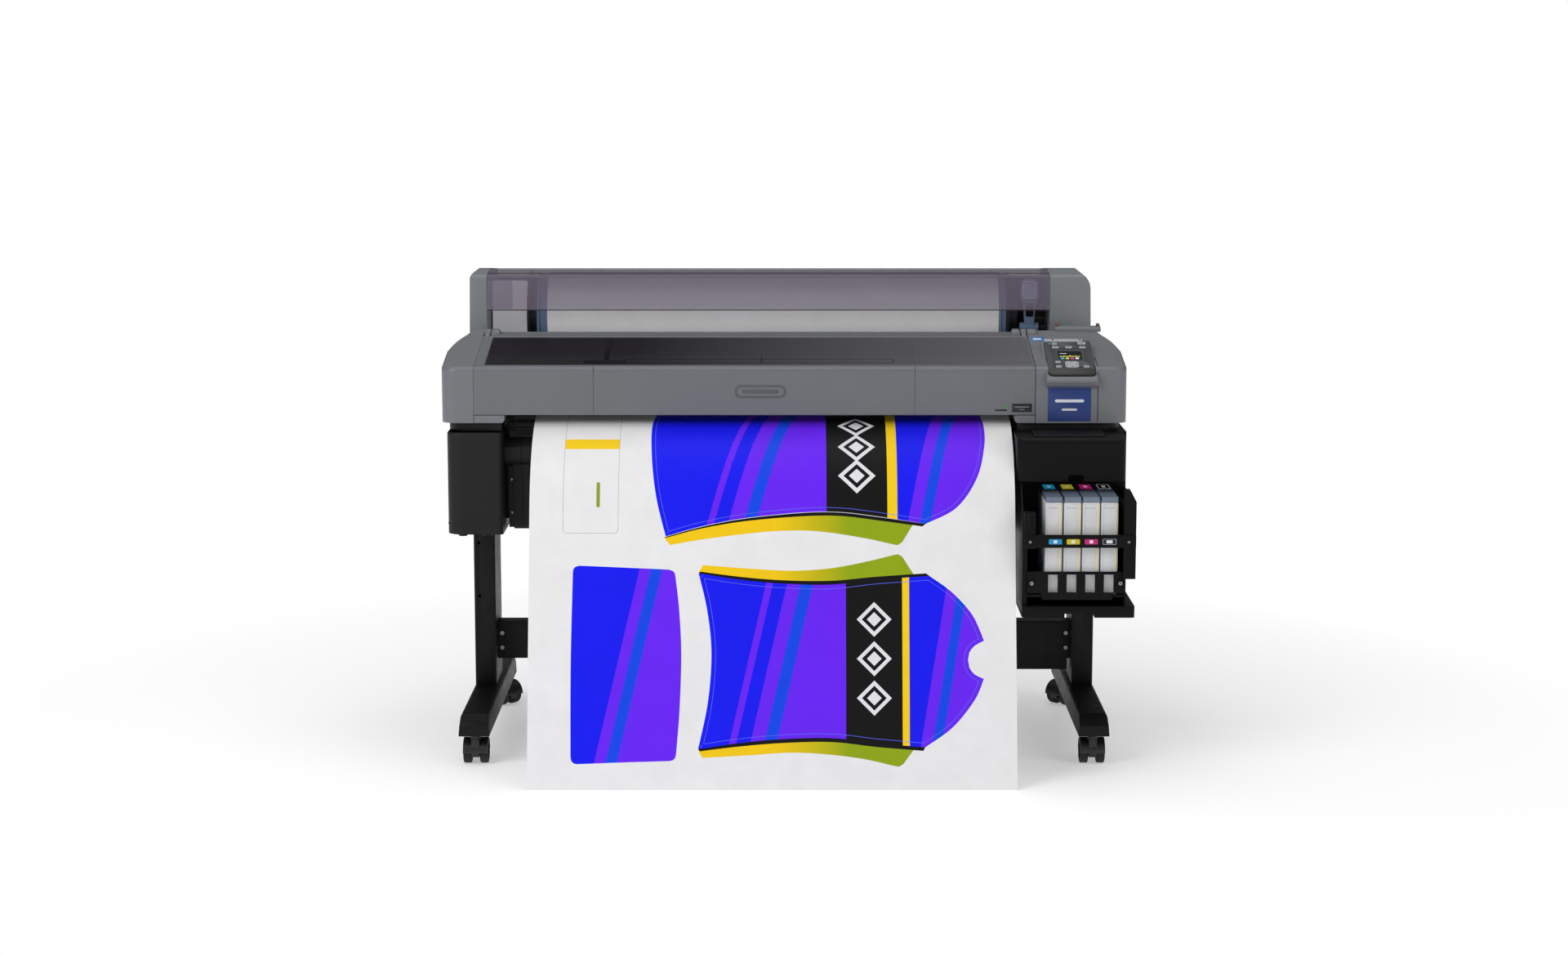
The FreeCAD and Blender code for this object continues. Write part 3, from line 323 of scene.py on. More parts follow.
def paper(name, rgb, rough=0.82, ink=0.0, ramp=None):
    """Paper with felted fibre and faint mottle; ink (0..1) gives a soft sheen.

    ramp (x from, x to, rgb) fades to a second colour along X, in mm.
    """
    g = Graph(name)
    fibre = g.weighted(g.noise(scale=380.0, detail=4.0, stretch=(1.0, 3.0, 3.0)), 0.6,
                       g.noise(scale=1500.0), 0.4)
    mottle = g.noise(scale=14.0, detail=4.0)
    if ramp is None:
        dark, light = shade(linear(rgb), 0.965), shade(linear(rgb), 1.03)
    else:
        start, end, second = ramp
        along = g.span(g.separate(g.object)[0], (start * MM, end * MM))
        colour = g.mix(along, linear(rgb), linear(second))
        dark, light = g.mix(1.0, colour, colour), g.mix(0.06, colour, (0.0, 0.0, 0.0))
    mask = g.span(g.weighted(mottle, 0.6, fibre, 0.4), (0.36, 0.64))
    g.surface(g.mix(mask, dark, light), g.sheen(fibre, rough - 0.12 * ink, less=0.06, more=0.06),
              g.bump(fibre, distance=0.00008, strength=0.45), spec=0.25 - 0.15 * ink)


def milky(name, rgb):
    """Blow-moulded translucent plastic."""
    g = Graph(name)
    base = linear(rgb)
    cloud = g.span(g.noise(scale=26.0, detail=4.0), MID)
    colour = g.vary(cloud, base, dark=0.93, light=1.04)
    edge, rounded_normal = g.edge(radius=0.0015)
    # painted highlight: slightly paler edges
    colour = g.mix(g.times(edge, 0.35), colour, shade(base, gain=1.1, lift=0.03))
    g.surface(colour, g.sheen(g.noise(scale=50.0, detail=4.0), 0.42, less=0.06, more=0.1),
              g.bump(g.noise(scale=300.0), distance=0.00010, strength=0.4, normal=rounded_normal),
              spec=0.4, **{"Subsurface Weight": 0.12, "Subsurface Scale": 0.01})


def satin(name, rgb, rough=0.42, glow=0.0):
    """Printed or filmed colour on a label or a key; glow makes it emit, the display's own light on
    the screen marks and painted light on the tabs, the cyan strap label and the roll guard.
    """
    g = Graph(name)
    base = linear(rgb)
    speckle = g.noise(scale=600.0)
    emission = {"Emission Color": base, "Emission Strength": glow} if glow else {}
    g.surface(g.vary(g.span(speckle, MID), base, dark=0.94, light=1.05),
              g.sheen(g.noise(scale=90.0), rough, less=0.05, more=0.07),
              g.bump(speckle, distance=0.00003, strength=0.4), spec=0.4, **emission)


def film(name, rgb):
    """Thin dark film on a panel: faint mottling and no worn edge."""
    g = Graph(name)
    speckle = g.noise(scale=260.0)
    g.surface(g.vary(g.span(speckle, MID), linear(rgb), dark=0.85, light=1.15),
              g.span(speckle, MID, to=(0.42, 0.56)),
              g.bump(speckle, distance=0.00002, strength=0.3), spec=0.06)


def two_tone(name, rgb, dark, split):
    """Moulded end disc that turns dark across the split (x from, x to), in mm."""
    g = Graph(name)
    base = linear(rgb)
    flange = g.span(g.separate(g.object)[0], (split[0] * MM, split[1] * MM))
    edge, rounded_normal = g.edge(radius=0.0012)
    colour = g.mix(flange, base, linear(dark))
    # painted highlight: paler edges
    colour = g.mix(g.times(edge, 0.3), colour, shade(base, gain=1.5, lift=0.02))
    g.surface(colour, g.span(g.noise(scale=60.0, detail=4.0), MID, to=(0.38, 0.52)),
              g.bump(g.noise(scale=700.0), distance=0.00006, strength=0.4, normal=rounded_normal),
              spec=0.3)


# ============================================================ materials
ALL_WAYS = (1, 1, 1)                                   # brush without a direction
SMOOTH_GREY = dict(var=0.035, wear_and_highlight=0.22, lift=1.35)    # edge wear and painted edge highlight of the outer casings

# large parts
two_tone("adapter_left", (112, 134, 164), dark=(26, 28, 32), split=(-611.5, -612.0))
two_tone("adapter_right", (112, 134, 164), dark=(26, 28, 32), split=(549.5, 550.0))
coated_metal("stand_metal", (13, 13, 14))
bare_metal("bolt_steel", (150, 152, 156), rough=0.3, brush=ALL_WAYS)
moulded("caster_nylon", (30, 30, 32), rough=0.38, grain=700, wear_and_highlight=0.35)
rubber("caster_tread", (34, 34, 36), rough=0.72)
moulded("grey_plastic", (105, 108, 112), rough=0.42, **SMOOTH_GREY)
moulded("deck_grey", (112, 115, 118), var=0.04, wear_and_highlight=0.25, lift=1.35)
moulded("cap_grey", (112, 115, 119), rough=0.42, **SMOOTH_GREY)
moulded("tower_grey", (122, 126, 129), rough=0.43, **SMOOTH_GREY,
        between=(-0.7300, 0.6530, (10, 10, 11)))
moulded("unit_black", (12, 12, 13), var=0.08, lift=1.9, spec=0.12)
moulded("black_plastic", (28, 28, 29), var=0.07, wear_and_highlight=0.35, lift=1.9, spec=0.22)
smoked("smoked_window", (20, 20, 22), alpha=0.78, rough=0.12, spec=0.16, painted_reflection=(112, 112, 115))
clear_hood("smoked_hood", (140, 130, 151))
paper("media_paper", (246, 246, 247))
moulded("blue_plastic", (104, 126, 156), rough=0.42, wear_and_highlight=0.4, lift=1.35)
rubber("roller_rubber", (44, 44, 46), rough=0.66)
bare_metal("rail_aluminium", (120, 122, 126), rough=0.34, brush=(0.06, 1.0, 1.0))
moulded("carriage_plastic", (46, 46, 48), rough=0.44, wear_and_highlight=0.35, lift=1.9)
bare_metal("blade_steel", (188, 190, 194), rough=0.2, brush=(1, 1, 0.1))
rubber("belt_rubber", (24, 24, 25), rough=0.7)
bare_metal("pulley_steel", (160, 162, 166), rough=0.26, brush=(1, 0.1, 1))
milky("tank_plastic", (212, 213, 215))
moulded("slate_plastic", (108, 120, 137), rough=0.4, grain=800)
moulded("panel_black", (58, 59, 61), rough=0.42, lift=1.7, skirt=(0.9284, 0.9300, (8, 8, 9)))
smoked("screen_glass", (14, 16, 22), alpha=0.95, rough=0.06, spec=0.5)
moulded("button_grey", (168, 170, 172), rough=0.42, grain=1200, wear_and_highlight=0.35, lift=1.4)

# inks of the printed sheet, in the order of its material slots
INKS = ("paper", "blue", "cobalt", "violet", "yellow", "black", "olive", "hem", "fade", "line",
        "outline", "white")
paper("sheet_paper", (238, 238, 239))
paper("sheet_blue", (25, 29, 246), rough=0.62, ink=1.0)
paper("sheet_cobalt", (22, 75, 236), rough=0.62, ink=1.0)
paper("sheet_violet", (108, 40, 250), rough=0.62, ink=1.0)
paper("sheet_yellow", (252, 211, 28), rough=0.64, ink=1.0)
paper("sheet_black", (22, 22, 23), rough=0.6, ink=1.0)
paper("sheet_olive", (150, 160, 40), rough=0.64, ink=1.0)
paper("sheet_hem", (252, 208, 26), rough=0.64, ink=1.0, ramp=(-20, 150, (150, 172, 26)))
paper("sheet_fade", (25, 32, 246), rough=0.62, ink=1.0, ramp=(60, 420, (104, 42, 248)))
paper("sheet_line", (168, 168, 173), rough=0.7, ink=0.5)
paper("sheet_outline", (96, 112, 244), rough=0.64, ink=1.0)
paper("sheet_white", (232, 232, 236), rough=0.7, ink=0.5)

# small parts, labels and lit marks
satin("label_blue", (36, 60, 126), rough=0.36)
satin("label_white", (222, 226, 234))
satin("label_grey", (150, 154, 158))
satin("label_green", (86, 132, 92))
satin("label_black", (24, 24, 25), rough=0.3)
film("window_ink", (6, 6, 7))
film("cover_ink", (46, 43, 52))
# painted light: the glow brightens the roll guard, which sits in the shade of the hood
satin("guard_grey", (184, 184, 186), rough=0.5, glow=0.46)
moulded("guard_dark", (12, 12, 13), rough=0.6, wear_and_highlight=0.2, lift=1.8, spec=0.1)
moulded("lever_pad", (168, 178, 208), rough=0.42, wear_and_highlight=0.5, lift=1.3)
moulded("lever_rim", (236, 238, 246), rough=0.42, lift=1.2)
satin("sky", (58, 122, 186))
# painted light: the glow on the cyan strap label and the slider tabs lifts them where they sit in
# the lid's shade
satin("cyan", (20, 138, 184), glow=0.10)
satin("tab_cyan", (24, 150, 196), rough=0.4, glow=0.42)
satin("tab_yellow", (206, 192, 26), rough=0.4, glow=0.42)
satin("tab_magenta", (200, 26, 118), rough=0.4, glow=0.42)
satin("tab_black", (20, 20, 22))
satin("tab_white", (214, 216, 220), rough=0.4, glow=0.34)
satin("ink_yellow", (200, 186, 22))
satin("magenta", (190, 22, 112))
satin("ink_black", (22, 22, 24))
milky("cream", (226, 214, 182))
satin("brown", (110, 72, 62))
satin("tick", (208, 212, 216))
satin("lit_white", (230, 234, 240), rough=0.3, glow=0.5)
satin("lit_cyan", (60, 178, 214), rough=0.3, glow=0.5)
satin("lit_yellow", (222, 200, 60), rough=0.3, glow=0.5)
satin("lit_magenta", (206, 70, 138), rough=0.3, glow=0.5)
satin("lit_green", (92, 196, 120), rough=0.3, glow=0.8)
rubber("seam_shadow", (20, 20, 21), rough=0.7)
paper("cardboard", (158, 132, 100), rough=0.86)
moulded("mark_grey", (84, 87, 90), rough=0.4, var=0.04, wear_and_highlight=0.5, lift=1.6)


# ============================================================ mesh helpers
def point(x, y, z):
    return Vector((x * MM, y * MM, z * MM))


def make(name, verts, faces, materials, body, index=None, sharp=32.0, slot=None):
    """Smooth-shaded object that rides on a body; materials are names."""
    mesh = bpy.data.meshes.new(name)
    mesh.from_pydata([tuple(v) for v in verts], [], faces)
    for key in materials:
        mesh.materials.append(MATERIALS[key])
    if index is not None:
        mesh.polygons.foreach_set("material_index", np.asarray(index, np.int32))
    bm = bmesh.new()
    bm.from_mesh(mesh)
    bmesh.ops.recalc_face_normals(bm, faces=bm.faces)
    bm.to_mesh(mesh)
    bm.free()
    mesh.shade_smooth()
    mesh.set_sharp_from_angle(angle=math.radians(sharp))
    mesh.validate()
    obj = bpy.data.objects.new(name, mesh)
    SCENE.collection.objects.link(obj)
    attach(obj, body)
    return obj


def rounded(box, radius, steps=5):
    """Rounded rectangle, the same point count for any size."""
    x0, x1, y0, y1 = box
    r = max(0.01, min(radius, (x1 - x0) / 2 - 0.005, (y1 - y0) / 2 - 0.005))
    corners = ((x1 - r, y1 - r, 0), (x0 + r, y1 - r, 90),
               (x0 + r, y0 + r, 180), (x1 - r, y0 + r, 270))
    out = []
    for cx, cy, start in corners:
        for i in range(steps + 1):
            a = math.radians(start + 90.0 * i / steps)
            out.append((cx + r * math.cos(a), cy + r * math.sin(a)))
    return out


def circle(cx, cy, r, n=28):
    angles = [2 * math.pi * i / n for i in range(n)]
    return [(cx + r * math.cos(a), cy + r * math.sin(a)) for a in angles]


def loft(name, loops, materials, body, closed=False, **finish):
    """Skin through loops of equal length; ends are capped unless the loft closes on itself."""
    if isinstance(materials, str):
        materials = [materials]
    n, k = len(loops[0]), len(loops)
    verts = [p for loop in loops for p in loop]
    faces = []
    for i in range(k if closed else k - 1):
        j = (i + 1) % k
        for a in range(n):
            b = (a + 1) % n
            faces.append((i * n + a, i * n + b, j * n + b, j * n + a))
    if not closed:
        faces.append(tuple(range(n))[::-1])
        faces.append(tuple(range((k - 1) * n, k * n)))
    return make(name, verts, faces, materials, body, **finish)


class Plane:
    """A drawing plane: origin and two directions; the normal is their cross product."""

    def __init__(self, origin, u, v):
        self.origin = Vector(origin)
        self.u, self.v = Vector(u).normalized(), Vector(v).normalized()
        self.normal = self.u.cross(self.v)

    def at(self, a, b, height=0.0):
        return (self.origin + self.u * a + self.v * b + self.normal * height) * MM

    def loop(self, outline, height):
        return [self.at(a, b, height) for a, b in outline]


def plate(name, plane, box, radius, low, high, material, body, slot=None):
    """Rounded flat plate with an eased rim, standing on a plane from low to high."""
    x0, x1, y0, y1 = box
    ease = min(0.35 * (high - low), 0.8)
    loops = []
    for h, d in ((low, 0.0), (high - ease, 0.0), (high - ease * 0.3, ease * 0.3), (high, ease)):
        outline = rounded((x0 + d, x1 - d, y0 + d, y1 - d), radius - d * 0.5)
        loops.append(plane.loop(outline, h))
    return loft(name, loops, material, body, slot=slot)


def plates(plane, body, rows):
    """Plates from rows of (name, box, corner radius, low, high, material)."""
    for name, *shape in rows:
        plate(name, plane, *shape, body)


def disc(name, plane, cx, cy, r, low, high, material, body, socket=0.0, dome=0.0):
    """Round head with an eased rim and, if asked, a dome or a socket."""
    ease = min(0.3 * (high - low), 0.25 * r)
    profile = [(r, low), (r, high - ease), (r - 0.3 * ease, high - 0.3 * ease), (r - ease, high)]
    if dome:
        profile += [(r * 0.6, high + dome * 0.7), (r * 0.25, high + dome)]
    if socket:
        profile += [(socket, high), (socket * 0.96, high - 0.9), (socket * 0.5, high - 1.1)]
    loops = [plane.loop(circle(cx, cy, radius, 30), h) for radius, h in profile]
    return loft(name, loops, material, body)


def flat_ring(name, plane, outer, inner, low, high, material, body):
    """Flat frame between two outlines of equal point count."""
    loops = [plane.loop(outer, low), plane.loop(outer, high),
             plane.loop(inner, high), plane.loop(inner, low)]
    return loft(name, loops, material, body, closed=True)


def turned_x(profile, y, z, n):
    """Loops about an axis along X; profile holds (x, radius)."""
    return [[point(x, a, b) for a, b in circle(y, z, r, n)] for x, r in profile]


# ============================================================ CAD pieces
PIECES = {                        # material: the CAD pieces that wear it
    "stand_metal": "left_column right_column left_foot right_foot cross_beam",
    "bolt_steel": "stand_bolts",
    "black_plastic": "base_pan platen capping_station left_lower_casing lower_front_guide",
    "cap_grey": "left_end_cover right_end_cover panel_housing",
    "grey_plastic": "front_cover",
    "smoked_window": "front_window",
    "deck_grey": "top_deck rear_panel",
    "tower_grey": "left_roll_tower right_roll_tower",
    "smoked_hood": "roll_cover",
    "adapter_left": "roll_adapter_left",
    "adapter_right": "roll_adapter_right",
    "blue_plastic": "roll_lock_lever",
    "roller_rubber": "feed_roller pinch_rollers",
    "rail_aluminium": "carriage_rail",
    "carriage_plastic": "carriage",
    "blade_steel": "cutter_blade",
    "belt_rubber": "drive_belt",
    "pulley_steel": "idler_pulley motor_pulley",
    "unit_black": "ink_cover ink_rack",
    "panel_black": "panel_bezel",
    "screen_glass": "screen",
    "media_paper": "media_roll printed_sheet",
    "tank_plastic": "ink_tanks",
}
PIECE_MATERIAL = {piece: key for key, pieces in PIECES.items() for piece in pieces.split()}
PREFIX_MATERIAL = {"caster_wheel": "caster_tread", "caster_swivel": "caster_nylon",
                   "ink_slider": "slate_plastic", "button": "button_grey"}
BEVEL_WIDTH = {"left_column": 0.8, "right_column": 0.8, "left_foot": 1.2, "right_foot": 1.2,
               "panel_bezel": 0.5, "ink_rack": 0.7, "base_pan": 0.8}


def piece_material(piece):
    if piece in PIECE_MATERIAL:
        return PIECE_MATERIAL[piece]
    for prefix, key in PREFIX_MATERIAL.items():
        if piece.startswith(prefix):
            return key
    return "button_grey"


def bevel_piece(obj, width):
    obj.data.shade_smooth()
    weld = obj.modifiers.new("weld", "WELD")
    weld.merge_threshold = 5e-6
    bevel = obj.modifiers.new("bevel", "BEVEL")
    bevel.width = width * MM
    bevel.segments = 2
    bevel.limit_method = "ANGLE"
    bevel.angle_limit = math.radians(40)
    bevel.harden_normals = True
    bevel.use_clamp_overlap = True


for piece, obj in nodes.items():
    key = piece_material(piece)
    obj.data.materials.clear()
    obj.data.materials.append(MATERIALS[key])
    if piece in BEVEL_WIDTH:
        bevel_piece(obj, BEVEL_WIDTH[piece])


# ============================================================ run of the printed sheet
ROLL_Y, ROLL_Z, ROLL_R = 333.0, 1010.0, 105.0
SHEET_X0, SHEET_X1 = -586.0, 532.0
SHEET_THICK = 0.6
GUIDE_Y, GUIDE_Z = 130.0, 851.0       # where the paper bends after leaving the roll
EXIT_Y, EXIT_Z = -105, 811.0          # lengths along the sheet count from here


def leave_roll():
    """(y, z) where the straight run to the guide touches the roll."""
    dy, dz = ROLL_Y - GUIDE_Y, ROLL_Z - GUIDE_Z
    distance = math.hypot(dy, dz)
    radius = ROLL_R + SHEET_THICK / 2 + 0.6
    angle = math.atan2(dz, dy) - math.asin(radius / distance)
    length = math.sqrt(distance * distance - radius * radius)
    return GUIDE_Y + length * math.cos(angle), GUIDE_Z + length * math.sin(angle)


# (y, z) of the sheet from the roll to the floor
KNOTS = [
    leave_roll(), (GUIDE_Y, GUIDE_Z), (108, 840.0), (86, 826.5), (66, 816.5), (48, 811.8),
    (30, 811.0), (-40, 811.0), (EXIT_Y, EXIT_Z), (-130, 808.2), (-165, 801.0), (-200, 788.0),
    (-235, 769.5), (-266, 747.0), (-298, 713.0), (-326, 671.0), (-345, 620.0), (-361, 555.0),
    (-386, 462.0), (-411, 376.0), (-436, 288.0), (-460, 198.0), (-479, 122.0), (-495.5, 55.0),
    (-507.6, 0.6)]
STRAIGHT_RUNS = (0, 6, 7)             # knots that start a straight run


def sheet_run():
    """Smooth (y, z) line through the knots, and the length from the exit at each point."""
    knots = np.array(KNOTS, float)
    last = len(knots) - 1
    norm = np.linalg.norm
    line = [knots[0]]
    for i in range(last):
        p0, p1, p2, p3 = knots[max(0, i - 1)], knots[i], knots[i + 1], knots[min(last, i + 2)]
        d = norm(p2 - p1)
        steps = int(d / 2.5)
        slope1 = (p2 - p0) / (d + norm(p1 - p0)) * d
        slope2 = (p3 - p1) / (norm(p3 - p2) + d) * d
        for k in range(1, steps + 1):
            t = k / steps
            if i in STRAIGHT_RUNS:
                line.append(p1 + (p2 - p1) * t)
            else:
                line.append((2 * t ** 3 - 3 * t ** 2 + 1) * p1 + (t ** 3 - 2 * t ** 2 + t) * slope1
                            + (-2 * t ** 3 + 3 * t ** 2) * p2 + (t ** 3 - t ** 2) * slope2)
    line = np.array(line)
    length = np.concatenate([[0], np.cumsum(norm(np.diff(line, axis=0), axis=1))])
    exit_index = int(np.argmin(np.abs(line[:, 0] - EXIT_Y) + np.abs(line[:, 1] - EXIT_Z)))
    return line, length - length[exit_index]


RUN_LINE, RUN_LENGTH = sheet_run()
SHEET_START, SHEET_END = RUN_LENGTH[0], RUN_LENGTH[-1]


# ============================================================ print on the sheet
# Outlines hold (x, length along the sheet from the exit).
def spline(points, step=9.0):
    """Rounded run through points."""
    pts = [np.array(p, float) for p in points]
    last = len(pts) - 1
    out = []
    for i in range(last):
        p0, p1, p2, p3 = pts[max(0, i - 1)], pts[i], pts[i + 1], pts[min(last, i + 2)]
        steps = max(1, int(np.linalg.norm(p2 - p1) / step))
        for k in range(steps):
            t = k / steps
            out.append(tuple(0.5 * ((2 * p1) + (p2 - p0) * t
                                    + (2 * p0 - 5 * p1 + 4 * p2 - p3) * t * t
                                    + (3 * p1 - p0 - 3 * p2 + p3) * t ** 3)))
    out.append(tuple(pts[-1]))
    return out


def path(*runs):
    """Closed outline; runs of three points or more are curved and corners stay crisp."""
    out = []
    for run in runs:
        line = spline(run) if len(run) > 2 else [tuple(map(float, p)) for p in run]
        out += line[:-1]
    return out


def quad(x0, x1, y0, y1):
    return [(x0, y0), (x1, y0), (x1, y1), (x0, y1)]


def unit(vectors):
    return vectors / np.maximum(np.linalg.norm(vectors, axis=1, keepdims=True), 1e-9)


def inset(outline, distance):
    """Outline moved inwards, corners kept short."""
    pts = np.array(outline, float)
    ahead = np.roll(pts, -1, 0)
    tangent = unit(unit(pts - np.roll(pts, 1, 0)) + unit(ahead - pts))
    area = 0.5 * np.sum(pts[:, 0] * ahead[:, 1] - ahead[:, 0] * pts[:, 1])
    normal = np.stack([-tangent[:, 1], tangent[:, 0]], 1) * (1 if area > 0 else -1)
    return [tuple(p) for p in pts + normal * distance]


TOP_START = 12.0
top_panel = path(
    [(-300, TOP_START), (-309, 90), (-306, 200), (-294, 300), (-272, 389)],
    [(-272, 389), (-190, 366), (-90, 347), (38, 334), (130, 333), (230, 345), (326, 360)],
    [(326, 360), (398, 322), (446, 250), (466, 160), (468, 80), (462, TOP_START)],
    [(462, TOP_START), (-300, TOP_START)])
top_hem = path(
    [(-276, 391), (-190, 367), (-90, 348), (38, 335), (130, 334), (230, 346), (300, 356)],
    [(300, 356), (272, 402)],
    [(272, 402), (262, 409), (180, 392), (75, 377), (-20, 377), (-113, 386), (-200, 398),
     (-262, 409)],
    [(-262, 409), (-276, 391)])
top_band = path(
    [(-276, 391), (-190, 367), (-90, 348), (38, 335), (130, 334), (230, 346), (326, 360)],
    [(326, 360), (318, 366)],
    [(318, 366), (230, 354), (130, 342), (38, 343), (-90, 354), (-190, 371), (-270, 392)],
    [(-270, 392), (-276, 391)])
left_panel = path(
    [(-485, 474), (-484, 465), (-480, 459.5), (-472, 456.5), (-360, 461), (-264, 465.5),
     (-256, 468), (-251, 473), (-249, 482)],
    [(-249, 482), (-240, 560), (-235, 658), (-238, 780), (-246, 888)],
    [(-246, 888), (-248, 896), (-253, 901), (-261, 903), (-360, 906), (-474, 910),
     (-481, 907.5), (-485.5, 902), (-487, 893)],
    [(-487, 893), (-488, 680), (-485, 474)])
right_panel = path(
    [(-196, 474), (-176, 560), (-166, 658), (-174, 770), (-196, 876)],
    [(-196, 876), (-100, 862), (0, 853), (110, 851), (210, 862), (322, 872)],
    [(322, 872), (386, 826), (436, 764), (457, 716)],
    [(457, 716), (436, 706), (424, 690), (421, 673), (424, 656), (437, 640), (458, 629)],
    [(458, 629), (432, 570), (386, 518), (334, 480)],
    [(334, 480), (210, 489), (110, 500), (0, 498), (-100, 489), (-196, 474)])
right_hem_near = path(
    [(-196, 472), (-100, 487), (0, 496), (110, 498), (210, 487), (300, 480)],
    [(300, 480), (272, 436)],
    [(272, 436), (262, 430), (190, 447), (110, 462), (20, 468), (-80, 463), (-186, 455)],
    [(-186, 455), (-196, 472)])
right_hem_far = path(
    [(-196, 878), (-100, 864), (0, 855), (110, 853), (210, 864), (300, 872)],
    [(300, 872), (272, 910)],
    [(272, 910), (262, 916), (190, 900), (110, 889), (20, 884), (-80, 890), (-186, 896)],
    [(-186, 896), (-196, 878)])
right_band_near = path(
    [(-196, 474), (-100, 489), (0, 498), (110, 500), (210, 489), (334, 480)],
    [(334, 480), (326, 474)],
    [(326, 474), (210, 482), (110, 491), (0, 490), (-100, 482), (-192, 470)],
    [(-192, 470), (-196, 474)])
right_band_far = path(
    [(-196, 876), (-100, 862), (0, 853), (110, 851), (210, 862), (322, 872)],
    [(322, 872), (318, 880)],
    [(318, 880), (210, 871), (110, 860), (0, 862), (-100, 870), (-192, 881)],
    [(-192, 881), (-196, 876)])

LAYERS = []            # (outline, clip outline or None, ink); later layers lie on top


def lay(outline, ink, clip=None):
    LAYERS.append((outline, clip, ink))


def slant(clip, x0, x1, lean, y0, y1, ink):
    """Straight band that leans towards -X along the sheet."""
    lay([(x0, y0), (x1, y0), (x1 - lean, y1), (x0 - lean, y1)], ink, clip)


def diamonds(clip, x0, x1, y0, y1):
    """Three nested diamonds in a row along the sheet."""
    cx, half = (x0 + x1) / 2, (x1 - x0) / 2
    for share in (0.2, 0.5, 0.8):
        y = y0 + (y1 - y0) * share
        for k, ink in ((0.62, "white"), (0.44, "black"), (0.26, "white")):
            r = half * k
            lay([(cx - r, y), (cx, y - r), (cx + r, y), (cx, y + r)], ink, clip)


# top panel
lay(top_panel, "blue")
lay([(-30, 0), (98, 0), (98, 400), (-140, 400)], "violet", top_panel)
slant(top_panel, 6, 34, 110, 0, 400, "cobalt")
slant(top_panel, -78, -62, 110, 0, 400, "violet")
lay(quad(98, 238, 0, 400), "black", top_panel)
lay(quad(238, 261, 0, 400), "yellow", top_panel)
lay(quad(261, 480, 0, 400), "blue", top_panel)
lay([(356, 0), (480, 0), (480, 400), (276, 400)], "violet", top_panel)
slant(top_panel, 384, 408, 80, 0, 400, "cobalt")
diamonds(top_panel, 98, 238, 30, 300)
lay(top_hem, "hem")
lay(top_band, "black")
# lower left panel
lay(left_panel, "blue")
lay([(-326, 440), (-220, 440), (-220, 920), (-436, 920)], "violet", left_panel)
slant(left_panel, -300, -274, 110, 440, 920, "cobalt")
# lower right panel
lay(right_panel, "blue")
lay([(20, 440), (142, 440), (142, 920), (-90, 920)], "violet", right_panel)
slant(right_panel, 52, 80, 110, 440, 920, "cobalt")
slant(right_panel, -28, -12, 110, 440, 920, "violet")
lay(quad(142, 271, 400, 960), "black", right_panel)
lay(quad(271, 287, 400, 960), "yellow", right_panel)
lay(quad(287, 480, 400, 960), "blue", right_panel)
lay([(384, 440), (480, 440), (480, 920), (304, 920)], "violet", right_panel)
slant(right_panel, 410, 432, 80, 440, 920, "cobalt")
diamonds(right_panel, 142, 271, 520, 820)
lay(right_hem_near, "hem")
lay(right_hem_far, "hem")
lay(right_band_near, "black")
lay(right_band_far, "black")
# small outlined card at the upper left
card_face = rounded((-508, -382, 15, 381), 9.2, 6)
lay(rounded((-509, -381, 14, 382), 10, 6), "line")
lay(card_face, "paper")
lay(quad(-508, -382, 139, 172), "yellow", card_face)
lay(rounded((-432, -424, 262, 322), 4), "olive")
# thin pale line just inside two of the panels, as (outer, inner)
OUTLINES = [(inset(p, 9.0), inset(p, 10.1)) for p in (top_panel, right_panel)]


# ============================================================ sheet mesh
def inside(points, outline):
    """Even-odd test for many points at once."""
    x, y = points[:, 0], points[:, 1]
    result = np.zeros(len(points), bool)
    start = np.array(outline, float)
    for (x0, y0), (x1, y1) in zip(start, np.roll(start, -1, 0)):
        if y0 == y1:
            continue
        result ^= ((y0 > y) != (y1 > y)) & (x < (x1 - x0) * (y - y0) / (y1 - y0) + x0)
    return result


def sheet_plan():
    """Flat triangulation that follows every outline: points and triangles."""
    points, edges = [], []

    def draw(line, closed=True):
        first, n = len(points), len(line)
        points.extend(Vector(p) for p in line)
        edges.extend((first + i, first + (i + 1) % n) for i in range(n if closed else n - 1))

    def draw_print(outline):
        draw([(min(max(x, SHEET_X0 + 0.5), SHEET_X1 - 0.5), min(max(y, 6.0), SHEET_END - 0.5))
              for x, y in outline])

    xs = np.linspace(SHEET_X0, SHEET_X1, 25)
    rows = [*np.arange(SHEET_START, -160, 40.0), *np.arange(-160, SHEET_END - 3, 9.0)][1:]
    draw([(x, SHEET_START) for x in xs] + [(SHEET_X1, s) for s in rows]
         + [(x, SHEET_END) for x in xs[::-1]] + [(SHEET_X0, s) for s in rows[::-1]])
    for s in rows:
        draw([(x, s) for x in xs], closed=False)
    for outline, _, _ in LAYERS:
        draw_print(outline)
    for pair in OUTLINES:
        for outline in pair:
            draw_print(outline)
    flat, _, tris, _, _, _ = delaunay_2d_cdt(points, edges, [], 0, 1e-5, False)
    flat = np.array([(v[0], v[1]) for v in flat], float)
    tris = np.array([t for t in tris if len(t) == 3], int)
    x, s = flat[tris].mean(1).T
    keep = (x > SHEET_X0) & (x < SHEET_X1) & (s > SHEET_START) & (s < SHEET_END)
    return flat, tris[keep]


def ink_index(centres):
    """Material slot of each triangle."""
    index = np.full(len(centres), INKS.index("paper"))
    for outline, clip, ink in LAYERS:
        mask = inside(centres, outline)
        if clip:
            mask &= inside(centres, clip)
        index[mask] = INKS.index(ink)
    on_line = np.zeros(len(centres), bool)
    for outer, inner in OUTLINES:
        on_line |= inside(centres, outer) & ~inside(centres, inner)
    bare = (index == INKS.index("paper")) | (index == INKS.index("hem"))
    index[on_line & ~bare] = INKS.index("outline")
    return index


